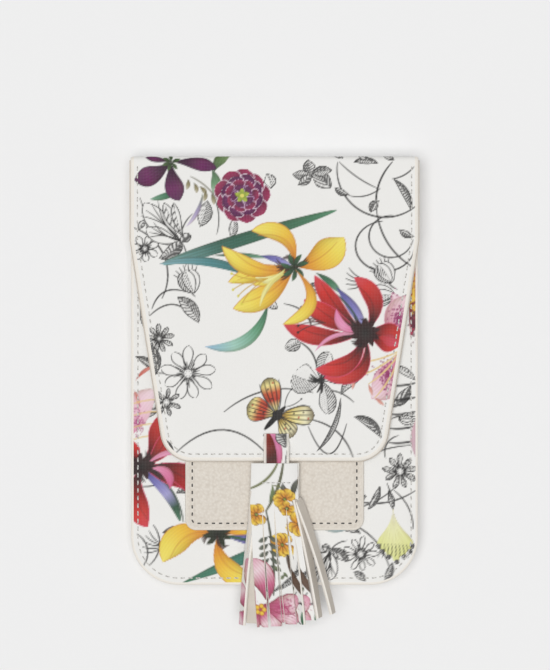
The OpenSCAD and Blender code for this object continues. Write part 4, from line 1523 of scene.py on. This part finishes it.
STITCH, PITCH = (2.0, 0.55, 0.2), 3.2
SHORT_STITCH, SHORT_PITCH = (1.5, 0.6, 0.22), 3.0
HEAD_STITCH, HEAD_PITCH = (1.2, 0.4, 0.16), 2.1
BACK_SINK, INSIDE_SINK = 0.32, 0.06
front_seam = sewn(
    "front_seam", seam_path(body_rows(SEAM, PANEL_Y)), PITCH, STITCH,
    folded(FACE_Z, 1, front_lift), PALE_THREAD, True,
)
back_seam = sewn(
    "back_seam", seam_path(body_rows(SEAM, PANEL_Y)), PITCH, STITCH,
    lambda x, s, depth: folded(0.0, -1)(x, s, depth + BACK_SINK), PALE_THREAD,
)
flap_seam = sewn(
    "flap_seam", seam_path(flap_rows(SEAM, HINGE_Y - 1)), PITCH, STITCH,
    folded(FLAP_Z, 1, flap_lift), PALE_THREAD, True,
)
flap_bobbin = sewn(
    "flap_seam_inside", seam_path(flap_rows(SEAM, HINGE_Y - 1)), PITCH, STITCH,
    lambda x, s, depth: lined(FLAP_Z, 1, flap_depth, flap_swell)(x, s, depth + INSIDE_SINK),
    PALE_THREAD,
)
pocket_seam = sewn(
    "pocket_seam", seam_path(pocket_rows(SEAM)), SHORT_PITCH, SHORT_STITCH,
    folded(POCKET_HIGH[2], 1, pocket_lift), DARK_THREAD, True,
)
for piece, node, body in (
    (front_seam, "front_stitching", "case"),
    (back_seam, "back_stitching", "case"),
    (flap_seam, "flap_stitching", "flap"),
    (pocket_seam, "pocket_stitching", "case"),
):
    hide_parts(node)
    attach(piece, body)
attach(flap_bobbin, "flap")

# %% [markdown]
# ## Strap and tassel
# The tassel is the same printed cloth, folded over a strap and cut into strips. A strip is a
# ribbon: a grid of points in its middle layer, thickened along its own direction of facing.
# Real strips curl and turn over as they hang, and then show their plain inside and their
# pale double edges, so every ribbon has a width, a path and a twist.

# %% Ribbons
TASSEL_X, HEAD_TOP = JOINT_AT["tassel_swing"][0], JOINT_AT["tassel_swing"][1]
HEAD_HALF = 9.35
HEAD_X = TASSEL_X - 0.9
HEAD_SEAM_Y, HEAD_SEAM_Z = -46.3, 22.18
CUT_Y = -56.4
LEAF_T = 0.95
STRAP_T = 0.9
WEAVE = 0.42
STRIP_COLS = 11


def thick_ribbon(middle, facing, thick):
    """Points and faces of one ribbon. middle and facing are rows x columns x 3: the middle
    layer and its unit normals. The sides bulge by a quarter of the thickness."""
    rows, cols = middle.shape[:2]
    top = middle + facing * thick / 2
    low = (middle - facing * thick / 2)[:, ::-1]
    out = middle[:, [0, -1]] - middle[:, [1, -2]]
    out = out / np.linalg.norm(out, axis=-1, keepdims=True) * thick / 4
    left, right = middle[:, :1] + out[:, :1], middle[:, -1:] + out[:, 1:]
    loops = np.concatenate([top, right, low, left], 1)
    size = loops.shape[1]
    index = np.arange(rows * size).reshape(rows, size)
    ahead = np.roll(index, -1, 1)
    quads = np.stack([index[:-1], index[1:], ahead[1:], ahead[:-1]], -1)
    slot = np.ones(size, int)
    slot[: cols - 1] = 0
    slot[cols + 1 : 2 * cols] = 2
    slots = np.tile(slot, rows - 1)
    faces = quads.reshape(-1, 4).tolist()
    j = np.arange(cols - 1)
    for row, turn in ((0, -1), (rows - 1, 1)):
        lid = np.stack([j, 2 * cols - j, 2 * cols - 1 - j, j + 1], 1) + row * size
        ends = [[0, 2 * cols + 1, 2 * cols], [cols - 1, cols + 1, cols]]
        ends = (np.array(ends) + row * size).tolist()
        faces += [face[::turn] for face in lid.tolist() + ends]
        slots = np.concatenate([slots, np.ones(len(lid) + 2, int)])
    return loops.reshape(-1, 3), faces, slots


def ribbon_object(name, ribbons, materials, picture):
    """Joins ribbons, each (middle, facing, flat places, thickness), into one printed mesh."""
    points, faces, slots, flats = [], [], [], []
    count = 0
    for middle, facing, flat, thick in ribbons:
        p, f, m = thick_ribbon(middle, facing, thick)
        faces += [[i + count for i in face] for face in f]
        points.append(p)
        slots.append(m)
        loops = [flat, flat[:, -1:], flat[:, ::-1], flat[:, :1]]
        flats.append(np.concatenate(loops, 1).reshape(-1, 2))
        count += len(p)
    flats = np.concatenate(flats)
    obj = mesh_object(name, np.concatenate(points), faces, np.concatenate(slots), materials)
    colour_points(obj, picture(flats[:, 0], flats[:, 1]))
    sheet_points(obj, flats)
    return obj


def strip(start, end, wide, twist, bow=(0.0, 0.0), flat_x=None, thick=1.25):
    """One hanging strip from start to end, points (x, y, z). twist gives its turn about its
    own length at both ends, in degrees; bow pushes its middle sideways and up."""
    start, end = np.array(start, float), np.array(end, float)
    rows = int(np.linalg.norm(end - start) / WEAVE)
    t = np.linspace(0, 1, rows + 1)[:, None]
    line = start + (end - start) * t + 4 * t * (1 - t) * np.array([bow[0], 0, bow[1]])
    ahead = np.gradient(line, axis=0)
    ahead /= np.linalg.norm(ahead, axis=1, keepdims=True)
    side = np.cross(ahead, [0, 0, 1.0])
    side /= -np.linalg.norm(side, axis=1, keepdims=True)
    up = np.cross(ahead, side)
    up *= np.sign(up[:, 2:])
    turn = np.radians(twist[0] + (twist[1] - twist[0]) * t)
    across = np.cos(turn) * side + np.sin(turn) * up
    facing = np.cos(turn) * up - np.sin(turn) * side
    columns = np.linspace(-wide / 2, wide / 2, int(wide / WEAVE) + 1)
    middle = line[:, None] + columns[None, :, None] * across[:, None]
    facing = np.repeat(facing[:, None], len(columns), 1)
    mid_x = start[0] if flat_x is None else flat_x
    flat = np.stack([np.tile(mid_x + columns, (rows + 1, 1)),
                     np.repeat(start[1] - t * (rows * WEAVE), len(columns), 1)], -1)
    return middle, facing, flat, thick


print("ribbons ready")

# %% Tassel print
OLIVE = "#6F7448"


def tassel_picture(x, s):
    """Small yellow blooms on a leafy stem, a pink bloom below and a brown twig."""
    cloth = blank(x, s)
    strokes(cloth, pen,
        ((1.5, -37.5), (-10.5, -49), 0.12, 0.9, 0.95, rgb(OLIVE)),
        ((3.6, -37.5), (-3.4, -58), 0.06, 1.0, 0.95, rgb("#5A5D40")),
        ((-3.4, -58), (-2.6, -93), 0.04, 0.9, 0.95, rgb("#4D5040")),
        ((-0.5, -47.5), (4, -51), 0.2, 0.6, 0.9, rgb(OLIVE)))
    for start, tip, wide in (((7.2, -54), (9.8, -44.5), 1.2), ((6.5, -53), (3.2, -46.5), 1.2),
                             ((6, -52), (10.5, -61), 1.6), ((7, -54), (4.5, -50), 0.9)):
        petal(cloth, start, tip, wide, ["#2E3230", "#55584F", "#77796F"], 0.1, edge="#2A2A28")
    petal(cloth, (-1, -47), (-2.2, -54.5), 0.9, ["#7C8F5E", "#5B6E42"], 0.1)
    gold = ["#C9761F", "#E8A335", "#F0C444", "#F2D75C"]
    for centre, reach, turns in (((4.0, -53.2), 4.6, (20, 60, 120, 165, 200)),
                                 ((4.8, -57), 3.2, (90, 170, 230, 290, 350)),
                                 ((9.0, -63.5), 5.2, (75, 105, 200, 245, 285, 320)),
                                 ((-7.2, -59.5), 4.6, (60, 110, 190, 250, 300)),
                                 ((2.0, -72), 5.0, (60, 95, 130, 235, 270, 305))):
        for turn in turns:
            tip = polar(centre, reach, turn)
            petal(cloth, centre, tip, 0.42 * reach + 0.3, ["#7A4312", "#9A5A18"], 0.06, 0.6, 0.6)
            petal(cloth, centre, tip, 0.42 * reach, gold, 0.06, 0.6, 0.6, 0.4)
        for turn in turns:
            pen(cloth, centre, polar(centre, 0.7 * reach, turn), 0, 0.4, 0.6, rgb("#7A4312"))
        dot(cloth, centre, 0.8, "#8A9A3E", "#4A3014")
    for k in range(5):
        root = (-3.2, -68.5 - 3.0 * k)
        for turn in (212, 322):
            petal(cloth, root, polar(root, 4.4, turn), 0.95, ["#3C4438", "#6A7264"], 0.08)
    for k in range(6):
        root = (0.5 + 1.3 * k, -83 - 1.3 * k)
        petal(cloth, root, polar(root, 2.8, 130 - 260 * (k % 2)), 0.7, ["#4D5B40", "#7C8A66"])
    engraved(cloth, (-2.5, -91.8), (14.5, -82), 1.3, 0.05, 0.75)
    petal(cloth, (3.8, -76), (15.5, -96), 1.7, ["#4A3B30", "#6B5446", "#3A2E26"], -0.1, 0.5, 0.4)
    for tip in ((17, -100), (12, -102), (9.5, -97), (19, -95)):
        petal(cloth, (14, -96), tip, 1.0, ["#2A2A24", "#4A4A3E"], 0.1)
    strokes(cloth, pen,
        ((8, -86), (11.5, -62), -0.08, 0.45), ((6, -97), (15, -104), 0.3, 0.7),
        ((8, -92), (9, -106), -0.3, 0.6))
    petal(cloth, (9.5, -107), (10, -100), 1.1, GREEN)
    rose = ["#96204A", "#CE6A92", "#F1D8E1", "#DA8CAA"]
    bloom = (
        ((-5, -95), (-12.5, -78.5), 4.7, -0.15), ((-9, -98), (-14, -88), 3.4, 0.1),
        ((-9, -99), (-15, -106), 3.8, 0.1), ((-8, -98), (-3, -108), 3.8, 0.1),
        ((-6.5, -98.5), (7, -104.5), 3.8, 0.08), ((-6.5, -97), (8.2, -93.6), 3.9, -0.12))
    for start, tip, wide, bend in bloom:
        petal(cloth, start, tip, wide + 0.45, ["#96204A", "#A82E5A"], bend, 0.6, 0.7)
        petal(cloth, start, tip, wide, rose, bend, 0.6, 0.7, 0.3)
    speckle(cloth, (0, -98), (9, 5), 160, "#B0426E", 0.32, 8)
    for k in range(5):
        dot(cloth, polar((-7.5, -99), 1.6, 72 * k), 1.1, "#E8C23E", "#B8661C")
    # Faint grey dashes along the head's seam: painted shade of its stitch holes.
    for k in range(5):
        ink(cloth, np.array([(-3.4 + 2.1 * k, -46.4), (-2.2 + 2.1 * k, -46.4)]), 0.4, 0.35)
    return cloth["rgb"]


def strap_picture(x, s):
    """A strip of the same cloth: the edge of a red bloom and one grey leaf."""
    cloth = blank(x, s)
    strokes(cloth, petal,
        ((-6, -22), (0.5, -44), 5.0, ["#C33A2E", "#8E2418", "#4A1712", "#7A1F18"], -0.06,
         0.5, 0.5, 0.3),
        ((-4.4, -42), (-4.2, -24), 0.9, ["#7A1512", "#D8402F"], 0.0),
        ((-2.6, -24), (1.5, -40), 1.3, ["#E58FB8", "#DD7FAE", "#C9557F"], 0.14, 0.5, 0.4))
    strokes(cloth, engraved,
        ((0.2, -25), (4.5, -32), 2.8, 0.12, 0.85), ((5.6, -31), (4.2, -42), 1.3, 0.08, 0.7))
    for side in (-1, 1):
        edge = STRAP_X + side * (STRAP_HALF - 0.35)
        ink(cloth, np.array([(edge, -12), (edge, -48)]), 0.75, 1, rgb("#EFEBE3"), 0)
    return cloth["rgb"]


# %% [markdown]
# ## The strap's rise
# The strap leaves the slit, rises over the seam and lies down into the tassel's head. Its
# height follows a smooth step, so it leaves the flap steeply and arrives level.

# %% Strap and tassel
def strap_ribbon():
    """The strap: height over the flap goes from inside the slit up to the head's middle."""
    start, end = SLIT_Y + 0.5, HEAD_TOP - 3.4
    rows = int((start - end) / WEAVE)
    t = np.linspace(0, 1, rows + 1)
    y = start + (end - start) * t
    rise = np.clip((start - y) / 5.5, 0, 1)
    z = FLAP_Z - 0.45 + 2.55 * rise * rise * (3 - 2 * rise)
    x = np.linspace(-STRAP_HALF, STRAP_HALF, 26)
    crown = 0.18 * (1 - (x / STRAP_HALF) ** 2)
    middle = np.stack(np.broadcast_arrays((STRAP_X + x)[None], y[:, None], z[:, None] + crown), -1)
    slope = np.gradient(z, y)
    facing = np.stack([0 * slope, -slope, 1 + 0 * slope], -1)
    facing /= np.linalg.norm(facing, axis=1, keepdims=True)
    facing = np.repeat(facing[:, None], len(x), 1)
    return middle, facing, middle[..., :2], STRAP_T


def front_leaf():
    """The head's front and its four strips. The head is crowned: height falls as the fourth
    power of the distance from its middle. A strip starts with the head's own row, then
    leans, sags and drops towards its end."""
    top = span("tassel_front")[1][2] - LEAF_T / 2
    foot = ((-4.9, -106.4, -0.9), (0.9, -106.0, -1.0), (6.9, -105.2, -1.2), (15.0, -103.6, -2.2))
    ribbons = []
    rows = int((HEAD_TOP - CUT_Y) / WEAVE)
    y = np.linspace(HEAD_TOP, CUT_Y, rows + 1)[:, None]
    w = np.linspace(-HEAD_HALF, HEAD_HALF, 4 * STRIP_COLS + 1)[None]
    head_z = top - 1.0 * (w / HEAD_HALF) ** 4 - 0.25 * np.clip((y - HEAD_TOP + 2) / 2, 0, 1) ** 2
    flare = 1 + 0.05 * (y - HEAD_TOP) / (CUT_Y - HEAD_TOP)
    dent = 0.25 * np.exp(-((y - HEAD_SEAM_Y) ** 2)) * (np.abs(w) < HEAD_HALF - 1.2)
    head = np.stack(np.broadcast_arrays(HEAD_X + w * flare, y, head_z - dent), -1)
    lean = np.stack(np.broadcast_arrays(4.0 * (w / HEAD_HALF) ** 3 / HEAD_HALF, 0 * y, 1.0), -1)
    lean = lean / np.linalg.norm(lean, axis=-1, keepdims=True)
    flat = np.stack(np.broadcast_arrays(HEAD_X + w, y), -1)
    ribbons.append((head, lean, flat, LEAF_T))
    for k, (foot_x, foot_y, drop) in enumerate(foot):
        cols = slice(STRIP_COLS * k, STRIP_COLS * (k + 1) + 1)
        base, normal, place = head[-1, cols], lean[-1, cols], flat[-1, cols]
        rows = int((CUT_Y - foot_y) / WEAVE)
        t = np.linspace(0, 1, rows + 1)[:, None]
        centre = base.mean(0)
        swing = (foot_x - centre[0]) * (0.35 * t + 0.65 * t**1.5)
        narrow = 1 - 0.07 * np.clip(t / 0.12, 0, 1)
        offset = (base[None, :, 0] - centre[0]) * narrow
        settle = np.clip(t / 0.25, 0, 1)
        sag = drop * t**1.6 + 0.35 * np.sin((3.1 + 0.7 * k) * t + 0.4 * k) * settle
        z = base[None, :, 2] + sag + (centre[2] - base[None, :, 2]) * settle * 0.85
        tilt = np.sin(2.2 * t + 1.7 * k) * 0.10 * settle
        z = z + tilt * offset
        middle = np.stack(np.broadcast_arrays(centre[0] + swing + offset,
                                              CUT_Y + (foot_y - CUT_Y) * t, z), -1)
        across = middle[:, -1] - middle[:, 0]
        ahead = np.gradient(middle.mean(1), axis=0)
        up = np.cross(across, -ahead)
        up = up / np.linalg.norm(up, axis=1, keepdims=True) * np.sign(up[:, 2:])
        blend = np.clip(t / 0.1, 0, 1)[:, None]
        facing = normal[None] * (1 - blend) + up[:, None] * blend
        facing = facing / np.linalg.norm(facing, axis=-1, keepdims=True)
        spot = np.stack(np.broadcast_arrays(place[None, :, 0], CUT_Y - WEAVE * rows * t), -1)
        ribbons.append((middle, facing, spot, LEAF_T))
    return ribbons


strap = ribbon_object("strap_ribbon", [strap_ribbon()], SKIN, strap_picture)
leaf_front = ribbon_object("front_leaf", front_leaf(), SKIN, tassel_picture)
leaf_middle = ribbon_object("middle_leaf", [
    strip((4.4, -56, 20.9), (11.2, -105.3, 19.6), 4.5, (8, 52), (0.3, 0.2), 8.0),
    strip((-7.6, -50, 20.9), (-9.3, -104.9, 19.0), 4.6, (180, 200), (-0.5, 0.0)),
    strip((9.2, -53, 20.8), (18.6, -102.6, 18.9), 4.4, (132, 112), (0.5, -0.2)),
    strip((-1.2, -50, 20.7), (2.6, -104.6, 19.2), 4.6, (0, 4)),
], SKIN, tassel_picture)
leaf_back = ribbon_object("back_leaf", [
    strip((TASSEL_X, HEAD_TOP, 19.3), (TASSEL_X, CUT_Y, 19.3), 18.4, (0, 0)),
    strip((-8.0, -54, 19.7), (-13.4, -105.6, 18.8), 4.5, (60, 66), (-0.7, 0.0), -12),
    strip((-3.6, -54, 19.2), (-5.2, -103.6, 18.4), 4.5, (0, 6)),
    strip((5.4, -54, 19.2), (13.2, -102.4, 18.2), 4.5, (4, -8)),
    strip((10.0, -54, 20.2), (24.2, -100.9, 19.2), 4.6, (128, 110), (0.9, 0.0)),
], SKIN, tassel_picture)
tassel_seam = sewn(
    "tassel_seam", np.array([(-6.6, HEAD_SEAM_Y), (8.0, HEAD_SEAM_Y)]), HEAD_PITCH, HEAD_STITCH,
    lambda x, s, depth: np.stack([x, s, HEAD_SEAM_Z - depth], -1), PALE_THREAD, True,
)
tail = strip((STRAP_X, -16.4, 17.4), (STRAP_X, -27.2, 17.5), 10.0, (0, 0), thick=STRAP_T)
strap_end = ribbon_object("strap_tail_ribbon", [tail], SKIN, strap_picture)
for piece, node, body in (
    (strap, "tassel_strap", "strap"),
    (leaf_front, "tassel_front", "tassel"),
    (leaf_middle, "tassel_middle", "tassel"),
    (leaf_back, "tassel_back", "tassel"),
    (tassel_seam, "tassel_stitching", "tassel"),
    (strap_end, "strap_tail", "flap"),
):
    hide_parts(node)
    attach(piece, body)
    print(piece.name, len(piece.data.polygons), "faces")

# %% [markdown]
# ## Cut sizes
# Each sheet's cut area is worked out from its outline. A panel's area is the sum of its
# rows' widths times their spacing, and the folded panels are as long as their flat path.

# %% Cut sizes
def cut(piece, rows):
    """Works out the area of a panel cut to its rows' outline; the area is not kept."""
    height, half = rows
    mean = (half[1:] + half[:-1]) / 2
    area = float(np.sum(2 * mean * np.diff(height))) * MM**2


cut(flap_skin, flap_rows(0, flap_end))
cut(back_skin, body_rows(0, back_end))
cut(front_skin, body_rows(0, PANEL_Y))
cut(flap_lining, flap_rows(-LINING_OUT, flap_end))
cut(back_lining, body_rows(BACK_LINING_IN, back_end))
cut(front_lining, body_rows(FRONT_LINING_IN, PANEL_Y))
cut(pocket, pocket_rows(0))
cut(pocket_lining, pocket_rows(POCKET_LINING_IN))

# %% CAD pieces that stay
STAYS = {
    "back_board": BOARD,
    "front_board": BOARD,
    "spine_board": BOARD,
    "flap_board": BOARD,
    "tassel_core": BOARD,
    "snap_socket": SNAP_METAL,
    "snap_stud": SNAP_METAL,
    "socket_washer": SNAP_METAL,
    "stud_washer": SNAP_METAL,
    "snap_magnet": MAGNET,
}
for node, made in STAYS.items():
    kept = frame["nodes"][node]
    kept.data.materials.clear()
    kept.data.materials.append(made)

# %% Finish
sizes = {"cad": cad_bounds, "visual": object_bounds()}
plain = {k: [[float(c) for c in corner] for corner in v] for k, v in sizes.items()}
